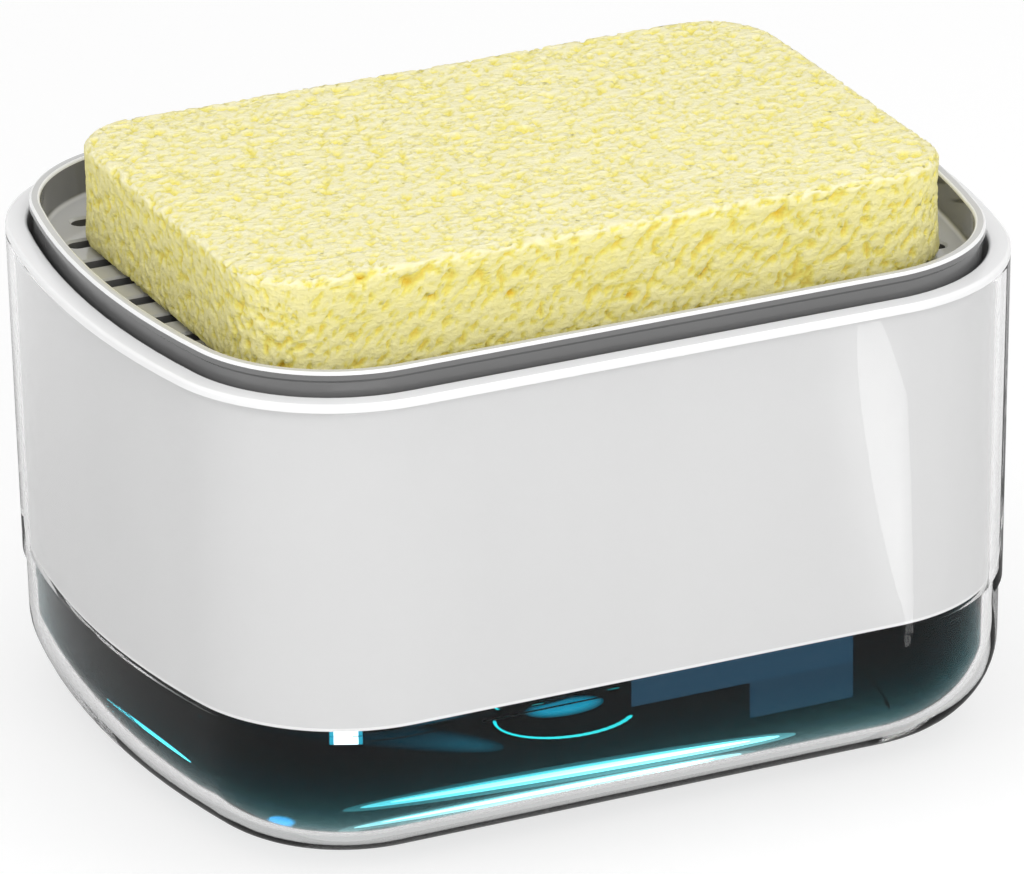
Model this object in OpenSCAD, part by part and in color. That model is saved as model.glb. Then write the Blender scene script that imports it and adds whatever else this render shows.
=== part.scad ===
// Soap pump caddy: a clear thick-walled soap tank, a white insert that drops into it and
// carries a press pump, a slotted press tray on the pump and a cellulose sponge in the tray.
// Millimetres, +Z up, +X along the long side, origin at the centre of the base.

/* [Overall] */
// Length of the caddy over the flange
body_w = 135; // [120:1:150]
// Depth of the caddy over the flange
body_d = 105; // [98:1:115]
// Height of the flange's top face above the table
body_h = 72.5; // [70:0.5:80]
// Radius of the four upright corners
corner_r = 27; // [22:1:34]
// Radius of the bow of the two short ends
end_bow_r = 150; // [110:5:220]
// Draft of the moulded walls, in degrees
draft_deg = 1; // [0.5:0.1:1.4]

/* [Tank] */
// Thickness of the clear wall beside the sleeve
tank_wall = 1.8; // [1.6:0.1:2.2]
// Thickness of the clear wall below the step
base_wall = 2.2; // [2:0.1:2.8]
// Thickness of the clear floor
tank_floor = 2.4; // [2.2:0.1:3.4]
// Radius of the rounded bottom edge, outside
base_fillet = 12.5; // [9:0.5:13]
// Outward step of the wall where the sleeve begins
step_depth = 0.5; // [0.2:0.1:0.8]
// Rounding of the tank's top edge
rim_round = 0.4; // [0.2:0.1:0.6]
// Width of the ring the tank stands on
stand_rim_w = 3; // [2:0.5:5]
// Depth of the recess inside that ring
stand_recess = 0.8; // [0.4:0.1:1.4]
// Outside diameter of the sump ring moulded on the floor
sump_d = 20; // [18:0.5:24]
// Wall of the sump ring
sump_wall = 1.8; // [1.2:0.1:2.2]
// Height of the sump ring
sump_h = 2.4; // [1.6:0.1:3.2]

/* [Soap] */
// Drop of the soap's surface below the sleeve's lower edge
soap_drop = 0.7; // [0.5:0.1:3]

/* [Sleeve] */
// Thickness of the white sleeve
sleeve_wall = 1.2; // [1:0.1:1.6]
// Height of the sleeve's lower edge above the table
sleeve_z = 22.2; // [20:0.2:25]
// Thickness of the flange that sits on the tank's rim
flange_t = 1.2; // [1.1:0.1:1.6]
// Rounding of the flange's edges
flange_round = 0.5; // [0.3:0.1:0.6]
// Width of the ledge that the deck rests on
ledge_w = 1.8; // [1.2:0.1:2.6]
// Thickness of that ledge
ledge_t = 1.6; // [1:0.1:2.4]
// Width of the rim gasket
rim_gasket_w = 0.8; // [0.6:0.1:0.9]
// Thickness of the rim gasket
rim_gasket_t = 0.4; // [0.3:0.05:0.5]

/* [Deck] */
// Depth of the deck's top face below the flange's top face
pocket_depth = 28.5; // [28:0.5:30]
// Thickness of the deck
deck_t = 2; // [1.6:0.1:2.6]
// Outside diameter of the pump neck
neck_d = 25; // [24:0.5:27]
// Height of the pump neck
neck_h = 4.5; // [3.5:0.1:4.6]
// Thickness of the ribs under the deck
deck_rib_t = 1.6; // [1:0.1:2]
// Height of those ribs
deck_rib_h = 4; // [2:0.5:5]

/* [Pump chamber] */
// Bore of the pump chamber
chamber_bore = 13; // [12:0.1:14]
// Wall of the pump chamber
chamber_wall = 1.5; // [1.1:0.1:1.7]
// Overhang of the chamber's flange past its wall
chamber_lap = 4.2; // [3.6:0.1:4.2]
// Thickness of the chamber's flange
chamber_flange_t = 1.5; // [1.2:0.1:2]
// Thickness of the pump gasket
pump_gasket_t = 0.8; // [0.5:0.1:1.2]
// Diameter of the inlet ball
inlet_ball_d = 4.8; // [4.4:0.1:5]
// Bore of the inlet below the ball
inlet_bore = 3; // [2.4:0.1:3.2]
// Reach of the pump chamber below the sleeve's lower edge
chamber_reach = 3; // [2:0.2:4.4]
// Height of the valve housing under the chamber
valve_h = 7.4; // [7.2:0.1:8]
// Thickness of the snap lip over the inlet ball
snap_lip_t = 0.9; // [0.6:0.1:1.2]
// Reach of the snap lip inward past the ball's own edge
snap_lip_grip = 0.2; // [0.1:0.05:0.3]
// Lift of the inlet ball
inlet_lift = 1.5; // [1:0.1:1.6]
// Outside diameter of the chamber's spigot
spigot_d = 6; // [5.4:0.1:6.4]
// Length of the chamber's spigot
spigot_h = 6; // [4:0.5:7]

/* [Pump fittings] */
// Depth of the stem guide's plug in the chamber
guide_plug_h = 4.6; // [3.6:0.1:5]
// Thickness of the guide's collar
guide_collar_t = 1.2; // [0.8:0.1:1.6]
// Width of the guide's collar on the chamber
guide_collar_w = 0.5; // [0.4:0.1:0.7]
// Wall of the lock ring
lock_wall = 2.4; // [1.8:0.1:3]
// Thickness of the lock ring's top
lock_top_t = 1.8; // [1.4:0.1:2]
// Number of grip ribs on the lock ring
lock_ribs = 28; // [20:2:36]
// Height of the grip ribs
lock_rib_h = 0.6; // [0.4:0.1:0.9]
// Wall of the dip tube
dip_wall = 1; // [0.8:0.1:1.3]
// Diameter of the suction foot
foot_d = 12.4; // [11:0.2:13]
// Height of the suction foot
foot_h = 2.6; // [2:0.1:3.2]
// Depth of the notches in the foot's lower edge
foot_notch = 0.9; // [0.6:0.1:1.2]

/* [Plunger] */
// Travel of the pump
press_travel = 8; // [6:0.5:8]
// Diameter of the stem
stem_d = 6; // [5.6:0.1:6.4]
// Bore of the stem
stem_bore = 2.4; // [2:0.1:2.6]
// Height of the piston
piston_h = 4.4; // [3.6:0.1:5]
// Height of each sealing lip of the piston
piston_lip = 0.9; // [0.6:0.1:1.1]
// Depth of the waist between the lips
piston_waist = 0.7; // [0.4:0.1:0.9]
// Thickness of the piston seat's disc
seat_disc_t = 1.6; // [1.2:0.1:1.8]
// Diameter of the piston seat's disc
seat_disc_d = 10.8; // [10:0.1:11.4]
// Length of the piston seat's plug in the stem
seat_plug_h = 3.4; // [2.4:0.1:4]
// Bore of the piston seat
seat_bore = 1.2; // [0.8:0.1:1.4]
// Mean diameter of the return spring
spring_d = 8.6; // [8.2:0.1:9.4]
// Wire of the return spring
spring_wire = 0.8; // [0.6:0.05:0.9]
// Turns of the return spring
spring_turns = 5; // [4:0.5:5.5]
// Diameter of the pump head's disc
head_d = 26; // [22:0.5:30]
// Thickness of the pump head's disc
head_t = 2.4; // [1.8:0.1:2.8]
// Diameter of the pump head's hub
hub_d = 11; // [9.6:0.1:12.4]
// Depth of the stem's socket in the hub
socket_h = 2.6; // [2:0.1:2.7]
// Diameter of the pump head's spigot
head_spigot_d = 9; // [8:0.1:9.6]
// Diameter of the outlet ball
outlet_ball_d = 3.2; // [3:0.1:3.4]
// Lift of the outlet ball
outlet_lift = 1.2; // [0.8:0.1:1.2]
// Thickness of the wall over the outlet ball
outlet_wall = 0.8; // [0.6:0.1:0.9]
// Room round the outlet ball in its pocket
outlet_room = 0.4; // [0.2:0.1:0.6]

/* [Tray] */
// Height of the tray's lip above the flange
tray_rise = 3.4; // [2.6:0.1:4.4]
// Depth of the tray from its lip to its floor
tray_depth = 5.9; // [4.6:0.1:6.2]
// Width of the tray's lip
lip_w = 1.6; // [1.2:0.1:2]
// Height of the lip's edge
lip_h = 1.2; // [0.9:0.1:1.5]
// Rounding of the lip
lip_round = 0.45; // [0.2:0.05:0.5]
// Overhang of the lip past the wall
lip_over = 0.5; // [0.3:0.1:0.7]
// Thickness of the tray's wall
tray_wall = 1.1; // [0.9:0.1:1.4]
// Thickness of the tray's floor
tray_floor_t = 1.6; // [1.2:0.1:1.8]
// Depth of the tray's skirt below its floor
tray_skirt = 2; // [1.4:0.1:2.6]
// Distance between rows of drain slots
slot_pitch = 8; // [7:0.5:9]
// Width of a drain slot
slot_w = 3; // [2:0.1:3.4]
// Rows of drain slots
slot_rows = 10; // [8:2:10]
// Length of the bridges between the slots of a row
slot_bridge = 5; // [4:0.5:7]
// Half length of the middle slots
slot_mid = 17; // [14:1:19]
// Margin between the slots and the tray's wall
slot_margin = 3; // [2:0.5:5]
// Diameter of the boss under the tray
boss_d = 16; // [15:0.5:19]
// Height of that boss below the floor
boss_h = 1.4; // [1:0.1:1.5]
// Thickness of the ribs under the tray
tray_rib_t = 1.4; // [1:0.1:1.8]
// Diameter of the nozzle
nozzle_d = 12; // [11:0.2:13]
// Thickness of the nozzle
nozzle_t = 1.4; // [1:0.1:1.5]
// Diameter of the nozzle's holes
nozzle_hole_d = 1.8; // [1.2:0.1:2]
// Holes round the nozzle's middle one
nozzle_holes = 6; // [4:1:8]

/* [Sponge] */
// Length of the sponge
sponge_l = 110; // [98:1:114]
// Depth of the sponge
sponge_w = 72; // [64:1:80]
// Thickness of the sponge
sponge_t = 16.5; // [14:0.5:22]
// Radius of the sponge's corners
sponge_r = 11; // [8:0.5:16]
// Rounding of the sponge's edges
sponge_edge = 1.8; // [1:0.1:3]
// Crown of the sponge's top face
sponge_crown = 0.6; // [0.2:0.1:1.2]
// Draw of the sponge's sides at half height
sponge_draw = 0.5; // [0.2:0.1:1]
// Shift of the sponge towards the front of the tray
sponge_shift = 2; // [0:0.5:4]
// Least room in the tray at each end of the sponge
sponge_end_room = 3.5; // [3:0.5:7]
// Least room in the tray at each side of the sponge
sponge_side_room = 2; // [1:0.5:6]

/* [Clearances] */
// Slip between the sleeve and the tank's wall
slip_gap = 0.2; // [0.15:0.05:0.3]
// Gap between the tray's lip and the flange
tray_gap = 0.35; // [0.3:0.05:0.8]
// Radial clearance of parts that slide
run_gap = 0.05; // [0.02:0.01:0.08]
// Radial clearance of parts that are pressed together
press_gap = 0.02; // [0.01:0.01:0.03]
// Gap at rest between a ball and its seat
ball_gap = 0.05; // [0.03:0.01:0.08]
// Gap at the end of a stop
stop_gap = 0.2; // [0.1:0.05:0.4]
// Clearance round loosely placed parts
place_gap = 0.15; // [0.1:0.05:0.3]
// Gap between the soap and the solids round it
soap_gap = 0.15; // [0.1:0.05:0.3]
// Gap under the sponge
sponge_gap = 0.2; // [0.1:0.05:0.3]

/* [Resolution] */
// Steps of each upright corner
corner_steps = 10; // [6:1:14]
// Steps of half an end's bow
bow_steps = 4; // [2:1:6]
// Steps of a fillet
fillet_steps = 7; // [4:1:9]
// Steps of a small rounding
round_steps = 3; // [2:1:4]

/* [Hidden] */
$fn = 72;
// Overrun of every cut past the face that it leaves
overrun = 1;
// Sides of the spring's wire and rings in each of its turns
wire_sides = 6;
turn_rings = 8;

// Levels of the body
rim_z = body_h - flange_t;
step_z = sleeve_z - step_depth;
soap_z = sleeve_z - soap_drop;
deck_z = body_h - pocket_depth;
lip_z = body_h + tray_rise;
tray_floor_z = lip_z - tray_depth;
tray_under_z = tray_floor_z - tray_floor_t;
sponge_z = tray_floor_z + sponge_gap;

// Levels of the pump, from the deck up
neck_top_z = deck_z + neck_h;
gasket_top_z = neck_top_z + pump_gasket_t;
chamber_top_z = gasket_top_z + chamber_flange_t;
lock_top_z = chamber_top_z + lock_top_t;
guide_under_z = chamber_top_z - guide_plug_h;
hub_under_z = lock_top_z + press_travel + stop_gap;
head_top_z = tray_under_z - boss_h;
stem_top_z = hub_under_z + socket_h;
piston_top_z = guide_under_z - stop_gap;
piston_under_z = piston_top_z - piston_h;
seat_under_z = piston_under_z - seat_disc_t;

// Levels of the pump, from the soap up
chamber_under_z = sleeve_z - chamber_reach;
chamber_floor_z = chamber_under_z + valve_h;
lip_under_z = chamber_floor_z - snap_lip_t;
dip_top_z = chamber_under_z - stop_gap;
foot_z = tank_floor + stop_gap;

// Radii of the pump
chamber_r = chamber_bore / 2 + chamber_wall;
chamber_flange_r = chamber_r + chamber_lap;
neck_bore_r = chamber_r + place_gap;
lock_in_r = neck_d / 2 + place_gap;
lock_r = lock_in_r + lock_wall;
guide_collar_r = chamber_bore / 2 + guide_collar_w;
stem_r = stem_d / 2;
inlet_r = inlet_ball_d / 2;
outlet_r = outlet_ball_d / 2;
pocket_r = inlet_r + chamber_wall / 2;
snap_r = inlet_r - snap_lip_grip;
valve_r = pocket_r + chamber_wall;
// Height of a ball's centre over the round edge that it touches
function over_edge(ball_r, edge_r) = sqrt(ball_r * ball_r - edge_r * edge_r);
// The ball is stopped by the snap lip, and rests in a 45 degree cone under it
inlet_z = lip_under_z - over_edge(inlet_r, snap_r) - inlet_lift - ball_gap;
cone_tip_z = inlet_z - (inlet_r + ball_gap) * sqrt(2);
outlet_z = stem_top_z + over_edge(outlet_r, stem_bore / 2) + ball_gap;
outlet_pocket_r = outlet_r + outlet_room;
outlet_lid_z = head_top_z + boss_h - place_gap - outlet_wall;

// Insets from the caddy's outline, which every shell follows
sleeve_in = tank_wall + slip_gap;
sleeve_bore = sleeve_in + sleeve_wall;
tray_in = sleeve_bore + tray_gap;
tray_wall_in = tray_in + lip_over;
tray_bore = tray_wall_in + tray_wall;
gasket_in = (tank_wall - rim_gasket_w) / 2;
function draft_in(z) = (rim_z - z) * tan(draft_deg);
function tank_out(z) = draft_in(z) + (z < step_z ? step_depth : 0);

// Size of the outline, never too small for the sponge to lie in the tray
plan_w = max(body_w, sponge_l + 2 * (tray_bore + sponge_end_room));
plan_d = max(body_d, sponge_w + 2 * (tray_bore + sponge_side_room + sponge_shift));

// Centres of the outline's arcs in its first quarter
end_cx = plan_w / 2 - end_bow_r;
bow_angle = asin((plan_d / 2 - corner_r) / (end_bow_r - corner_r));
corner_cx = end_cx + (end_bow_r - corner_r) * cos(bow_angle);
corner_cy = plan_d / 2 - corner_r;

function arc(cx, cy, r, a0, a1, steps) =
    [for (k = [0:steps]) let (a = a0 + (a1 - a0) * k / steps) [cx + r * cos(a), cy + r * sin(a)]];
function but_first(v) = [for (k = [1:len(v) - 1]) v[k]];
function but_last(v) = [for (k = [0:len(v) - 2]) v[k]];
function turned(v, sx, sy) = [for (p = v) [sx * p.x, sy * p.y]];
function reversed(v) = [for (k = [len(v) - 1:-1:0]) v[k]];
// The first quarter of the outline, then the whole of it, anticlockwise from +X
function quarter(inset) =
    concat(arc(end_cx, 0, end_bow_r - inset, 0, bow_angle, bow_steps),
           but_first(arc(corner_cx, corner_cy, corner_r - inset, bow_angle, 90, corner_steps)));
function four_quarters(q) =
    concat(q, reversed(turned(q, -1, 1)), but_first(turned(q, -1, -1)),
           but_last(reversed(turned(q, 1, -1))));
function outline(inset) = four_quarters(quarter(inset));
// Where the outline stands at a given y, on the +X side
function outline_x(inset, y) =
    abs(y) < (end_bow_r - inset) * sin(bow_angle)
    ? end_cx + sqrt(pow(end_bow_r - inset, 2) - y * y)
    : corner_cx + sqrt(pow(corner_r - inset, 2) - pow(abs(y) - corner_cy, 2));
function lifted(points, z) = [for (p = points) [p.x, p.y, z]];
function ring(inset, z) = lifted(outline(inset), z);

// A skin through equal rings of points, each anticlockwise from above: capped at its two
// ends, or closed on itself when the profile comes back to its first ring.
module loft(rings, closed = false) {
    n = len(rings[0]);
    spans = closed ? len(rings) : len(rings) - 1;
    sides = [for (k = [0:spans - 1]) for (j = [0:n - 1])
        let (a = k * n, b = (k + 1) % len(rings) * n, i = (j + 1) % n)
        for (face = [[a + j, b + j, b + i], [a + j, b + i, a + i]]) face];
    caps = closed ? [] : [[for (j = [0:n - 1]) j],
                          [for (j = [n - 1:-1:0]) (len(rings) - 1) * n + j]];
    polyhedron(points = [for (r = rings) each r], faces = concat(sides, caps), convexity = 8);
}

// A shell whose section is a list of [inset, z] round the outline
module outline_shell(profile, closed = false) {
    loft([for (p = profile) ring(p.x, p.y)], closed);
}

// Clear tank: rounded bottom edge, stand ring, stepped drafted wall and sump ring
module tank() {
    inner_fillet = base_fillet - base_wall;
    base_in = tank_out(0) + base_fillet;
    outside = [for (k = [0:fillet_steps]) let (a = 90 * k / fillet_steps)
        let (z = base_fillet * (1 - cos(a))) [tank_out(z) + base_fillet * (1 - sin(a)), z]];
    inside = [for (k = [fillet_steps:-1:0]) let (a = 90 * k / fillet_steps)
        let (z = tank_floor + inner_fillet * (1 - cos(a)))
        [tank_out(z) + base_wall + inner_fillet * (1 - sin(a)), z]];
    stand = [[base_in + stand_rim_w + stand_recess, stand_recess], [base_in + stand_rim_w, 0]];
    wall = [[tank_out(step_z - step_depth), step_z - step_depth], [tank_out(step_z), step_z],
            [tank_out(rim_z - rim_round), rim_z - rim_round], [rim_round, rim_z],
            [tank_wall - rim_round, rim_z],
            [tank_wall + tank_out(rim_z - rim_round), rim_z - rim_round],
            [tank_wall + tank_out(step_z), step_z],
            [base_wall + tank_out(step_z - step_depth), step_z - step_depth]];
    color([0.85, 0.93, 0.95, 0.35]) union() {
        outline_shell(concat(stand, outside, wall, inside));
        translate([0, 0, tank_floor - stand_recess]) difference() {
            cylinder(d = sump_d, h = sump_h + stand_recess);
            translate([0, 0, -overrun])
                cylinder(d = sump_d - 2 * sump_wall, h = sump_h + stand_recess + 2 * overrun);
        }
    }
}

// Soap in the tank, just below the sleeve, open over the sump so that the foot lifts out of it
module soap_fill() {
    fillet = base_fillet - base_wall - soap_gap;
    floor_z = tank_floor + soap_gap;
    pit_r = sump_d / 2 + soap_gap;
    side = base_wall + soap_gap;
    skin = [for (k = [0:fillet_steps]) let (a = 90 * k / fillet_steps)
        let (z = floor_z + fillet * (1 - cos(a)))
        [tank_out(z) + side + fillet * (1 - sin(a)), z]];
    color([0.04, 0.2, 0.27, 0.85]) difference() {
        outline_shell(concat(skin, [[tank_out(soap_z) + side, soap_z]]));
        cylinder(r = pit_r, h = tank_floor + sump_h + soap_gap);
        cylinder(r = foot_d / 2 + soap_gap, h = soap_z + overrun);
    }
}

// White sleeve: flange on the tank's rim, gasket groove, long skirt and the deck's ledge
module sleeve() {
    function out_at(z) = sleeve_in + draft_in(z);
    function bore_at(z) = sleeve_bore + draft_in(z);
    groove_z = rim_z + rim_gasket_t + place_gap;
    ledge_z = deck_z - deck_t;
    crown = [for (k = [0:round_steps]) let (a = 90 * k / round_steps)
        [flange_round * (1 - cos(a)), body_h - flange_round * (1 - sin(a))]];
    throat = [for (k = [0:round_steps]) let (a = 90 * k / round_steps)
        [sleeve_bore - flange_round * (1 - sin(a)), body_h - flange_round * (1 - cos(a))]];
    color([0.94, 0.94, 0.94]) outline_shell(concat(
        [[out_at(sleeve_z), sleeve_z], [sleeve_in, rim_z],
         [gasket_in + rim_gasket_w + place_gap, rim_z],
         [gasket_in + rim_gasket_w + place_gap, groove_z],
         [gasket_in - place_gap, groove_z], [gasket_in - place_gap, rim_z],
         [0, rim_z]],
        crown, throat,
        [[bore_at(ledge_z), ledge_z], [bore_at(ledge_z) + ledge_w, ledge_z],
         [bore_at(ledge_z) + ledge_w, ledge_z - ledge_t],
         [bore_at(ledge_z - ledge_t - ledge_w), ledge_z - ledge_t - ledge_w],
         [bore_at(sleeve_z), sleeve_z]]), true);
}

// Soft ring in the flange's groove, on the tank's rim
module rim_gasket() {
    color([0.85, 0.85, 0.83]) translate([0, 0, rim_z]) linear_extrude(rim_gasket_t)
        difference() {
            polygon(outline(gasket_in));
            polygon(outline(gasket_in + rim_gasket_w));
        }
}

// Deck on the sleeve's ledge: drip pan, pump neck and four ribs below
module pump_deck() {
    edge_in = sleeve_bore + draft_in(deck_z - deck_t) + place_gap;
    rib_l = plan_w / 2 - edge_in - ledge_w - 2 * ledge_t;
    rib_w = plan_d / 2 - edge_in - ledge_w - 2 * ledge_t;
    color([0.92, 0.92, 0.92]) difference() {
        union() {
            translate([0, 0, deck_z - deck_t]) linear_extrude(deck_t) polygon(outline(edge_in));
            translate([0, 0, deck_z - overrun / 2]) cylinder(d = neck_d, h = neck_h + overrun / 2);
            translate([0, 0, deck_z - deck_t - deck_rib_h / 2 + overrun / 4]) {
                cube([2 * rib_l, deck_rib_t, deck_rib_h + overrun / 2], center = true);
                cube([deck_rib_t, 2 * rib_w, deck_rib_h + overrun / 2], center = true);
            }
        }
        translate([0, 0, deck_z - deck_t - deck_rib_h - overrun])
            cylinder(r = neck_bore_r, h = deck_t + deck_rib_h + neck_h + 2 * overrun);
    }
}

// Flat gasket between the neck and the chamber's flange
module pump_gasket() {
    color([0.25, 0.25, 0.26]) translate([0, 0, neck_top_z]) difference() {
        cylinder(r = chamber_flange_r, h = pump_gasket_t);
        translate([0, 0, -overrun]) cylinder(r = neck_bore_r, h = pump_gasket_t + 2 * overrun);
    }
}

// Pump chamber: flange, bore, snap lip over the ball's pocket, cone seat and spigot
module pump_chamber() {
    bore_r = chamber_bore / 2;
    color([0.9, 0.92, 0.92]) rotate_extrude() polygon([
        [bore_r, chamber_top_z], [bore_r, chamber_floor_z], [snap_r, chamber_floor_z],
        [snap_r, lip_under_z], [pocket_r, lip_under_z], [pocket_r, cone_tip_z + pocket_r],
        [inlet_bore / 2, cone_tip_z + inlet_bore / 2], [inlet_bore / 2, chamber_under_z - spigot_h],
        [spigot_d / 2, chamber_under_z - spigot_h], [spigot_d / 2, chamber_under_z],
        [valve_r, chamber_under_z], [valve_r, chamber_floor_z - chamber_wall - (chamber_r - valve_r)],
        [chamber_r, chamber_floor_z - chamber_wall], [chamber_r, gasket_top_z],
        [chamber_flange_r, gasket_top_z], [chamber_flange_r, chamber_top_z]]);
}

// Guide plugged into the chamber's top, round the stem
module stem_guide() {
    plug_r = chamber_bore / 2 - press_gap;
    color([0.88, 0.9, 0.9]) rotate_extrude() polygon([
        [stem_r + run_gap, guide_under_z], [plug_r, guide_under_z], [plug_r, chamber_top_z],
        [guide_collar_r, chamber_top_z], [guide_collar_r, chamber_top_z + guide_collar_t],
        [stem_r + run_gap, chamber_top_z + guide_collar_t]]);
}

// Threaded lock ring over the neck, with grip ribs
module lock_ring() {
    skirt_z = deck_z + stop_gap;
    color([0.8, 0.82, 0.83]) difference() {
        union() {
            translate([0, 0, skirt_z]) cylinder(r = lock_r, h = lock_top_z - skirt_z);
            for (k = [0:lock_ribs - 1]) rotate([0, 0, 360 * k / lock_ribs])
                translate([lock_r - lock_wall / 2, -lock_rib_h / 2, skirt_z])
                    cube([lock_wall / 2 + lock_rib_h, lock_rib_h, lock_top_z - skirt_z - lock_rib_h]);
        }
        translate([0, 0, skirt_z - overrun])
            cylinder(r = lock_in_r, h = chamber_top_z - skirt_z + overrun);
        translate([0, 0, skirt_z])
            cylinder(r = guide_collar_r + place_gap, h = lock_top_z - skirt_z + overrun);
    }
}

// Dip tube over the chamber's spigot, down into the suction foot
module dip_tube() {
    tube_r = spigot_d / 2 + press_gap;
    end_z = foot_z + foot_notch;
    color([0.9, 0.95, 0.96]) translate([0, 0, end_z]) difference() {
        cylinder(r = tube_r + dip_wall, h = dip_top_z - end_z);
        translate([0, 0, -overrun]) cylinder(r = tube_r, h = dip_top_z - end_z + 2 * overrun);
    }
}

// Suction foot inside the sump ring, notched along its lower edge
module suction_foot() {
    tube_r = spigot_d / 2 + dip_wall + 2 * press_gap;
    color([0.85, 0.9, 0.92]) difference() {
        rotate_extrude() polygon([
            [tube_r, foot_z], [foot_d / 2, foot_z], [foot_d / 2, foot_z + foot_h / 2],
            [tube_r + dip_wall, foot_z + foot_h], [tube_r, foot_z + foot_h]]);
        for (turn = [0, 90]) rotate([0, 0, turn])
            translate([-foot_d, -foot_notch, foot_z - overrun])
                cube([2 * foot_d, 2 * foot_notch, foot_notch + overrun]);
    }
}

// Inlet ball in its pocket
module inlet_ball() {
    color([0.8, 0.8, 0.82]) translate([0, 0, inlet_z]) sphere(r = inlet_r);
}

// Return spring between the chamber's floor and the piston seat
module return_spring() {
    low = chamber_floor_z + ball_gap + spring_wire / 2;
    high = seat_under_z - ball_gap - spring_wire / 2;
    steps = ceil(spring_turns * turn_rings);
    echo(least_spring_gap = (high - low) / spring_turns - spring_wire);
    color([0.7, 0.72, 0.75]) loft([for (k = [0:steps]) let (a = 360 * spring_turns * k / steps)
        [for (s = [0:wire_sides - 1]) let (b = 360 * s / wire_sides)
            let (r = spring_d / 2 + spring_wire / 2 * cos(b))
            [r * cos(a), r * sin(a), low + (high - low) * k / steps + spring_wire / 2 * sin(b)]]]);
}

// Hollow stem from the piston seat to the pump head
module stem() {
    color([0.92, 0.92, 0.92]) translate([0, 0, piston_under_z]) difference() {
        cylinder(r = stem_r, h = stem_top_z - piston_under_z);
        translate([0, 0, -overrun])
            cylinder(d = stem_bore, h = stem_top_z - piston_under_z + 2 * overrun);
    }
}

// Piston with two sealing lips and a waist between them
module piston() {
    lip_r = chamber_bore / 2 - run_gap;
    color([0.3, 0.3, 0.32]) rotate_extrude() polygon([
        [stem_r + press_gap, piston_under_z], [lip_r, piston_under_z],
        [lip_r, piston_under_z + piston_lip],
        [lip_r - piston_waist, piston_under_z + piston_lip + piston_waist],
        [lip_r - piston_waist, piston_top_z - piston_lip - piston_waist],
        [lip_r, piston_top_z - piston_lip], [lip_r, piston_top_z],
        [stem_r + press_gap, piston_top_z]]);
}

// Piston seat plugged into the stem, on the spring
module piston_seat() {
    color([0.86, 0.86, 0.84]) rotate_extrude() polygon([
        [seat_bore / 2, seat_under_z], [seat_disc_d / 2, seat_under_z],
        [seat_disc_d / 2, piston_under_z], [stem_bore / 2 - press_gap, piston_under_z],
        [stem_bore / 2 - press_gap, piston_under_z + seat_plug_h],
        [seat_bore / 2, piston_under_z + seat_plug_h]]);
}

// Pump head: hub on the stem, ball pocket, disc under the tray and spigot into it
module pump_head() {
    spigot_top_z = outlet_lid_z + outlet_wall;
    disc_z = head_top_z - head_t;
    color([0.9, 0.9, 0.9]) rotate_extrude() polygon([
        [stem_r + press_gap, hub_under_z], [hub_d / 2, hub_under_z], [hub_d / 2, disc_z],
        [head_d / 2, disc_z], [head_d / 2, head_top_z], [head_spigot_d / 2, head_top_z],
        [head_spigot_d / 2, spigot_top_z], [stem_bore / 2, spigot_top_z],
        [stem_bore / 2, outlet_lid_z], [outlet_pocket_r, outlet_lid_z],
        [outlet_pocket_r, stem_top_z], [stem_r + press_gap, stem_top_z]]);
}

// Outlet ball on the stem's end
module outlet_ball() {
    color([0.8, 0.8, 0.82]) translate([0, 0, outlet_z]) sphere(r = outlet_r);
}

// One drain slot between two ends, with round ends
module slot(x0, x1, y) {
    translate([x0 + slot_w / 2, y - slot_w / 2]) square([x1 - x0 - slot_w, slot_w]);
    for (x = [x0 + slot_w / 2, x1 - slot_w / 2]) translate([x, y]) circle(d = slot_w);
}

// All the drain slots: three in a row, without the middle ones over the pump
module drain_slots() {
    for (k = [0:slot_rows - 1]) {
        y = (k - (slot_rows - 1) / 2) * slot_pitch;
        far = outline_x(tray_bore + slot_margin, abs(y) + slot_w / 2);
        slot(slot_mid + slot_bridge, far, y);
        slot(-far, -slot_mid - slot_bridge, y);
        if (abs(y) > boss_d / 2 + slot_w) slot(-slot_mid, slot_mid, y);
    }
}

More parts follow.
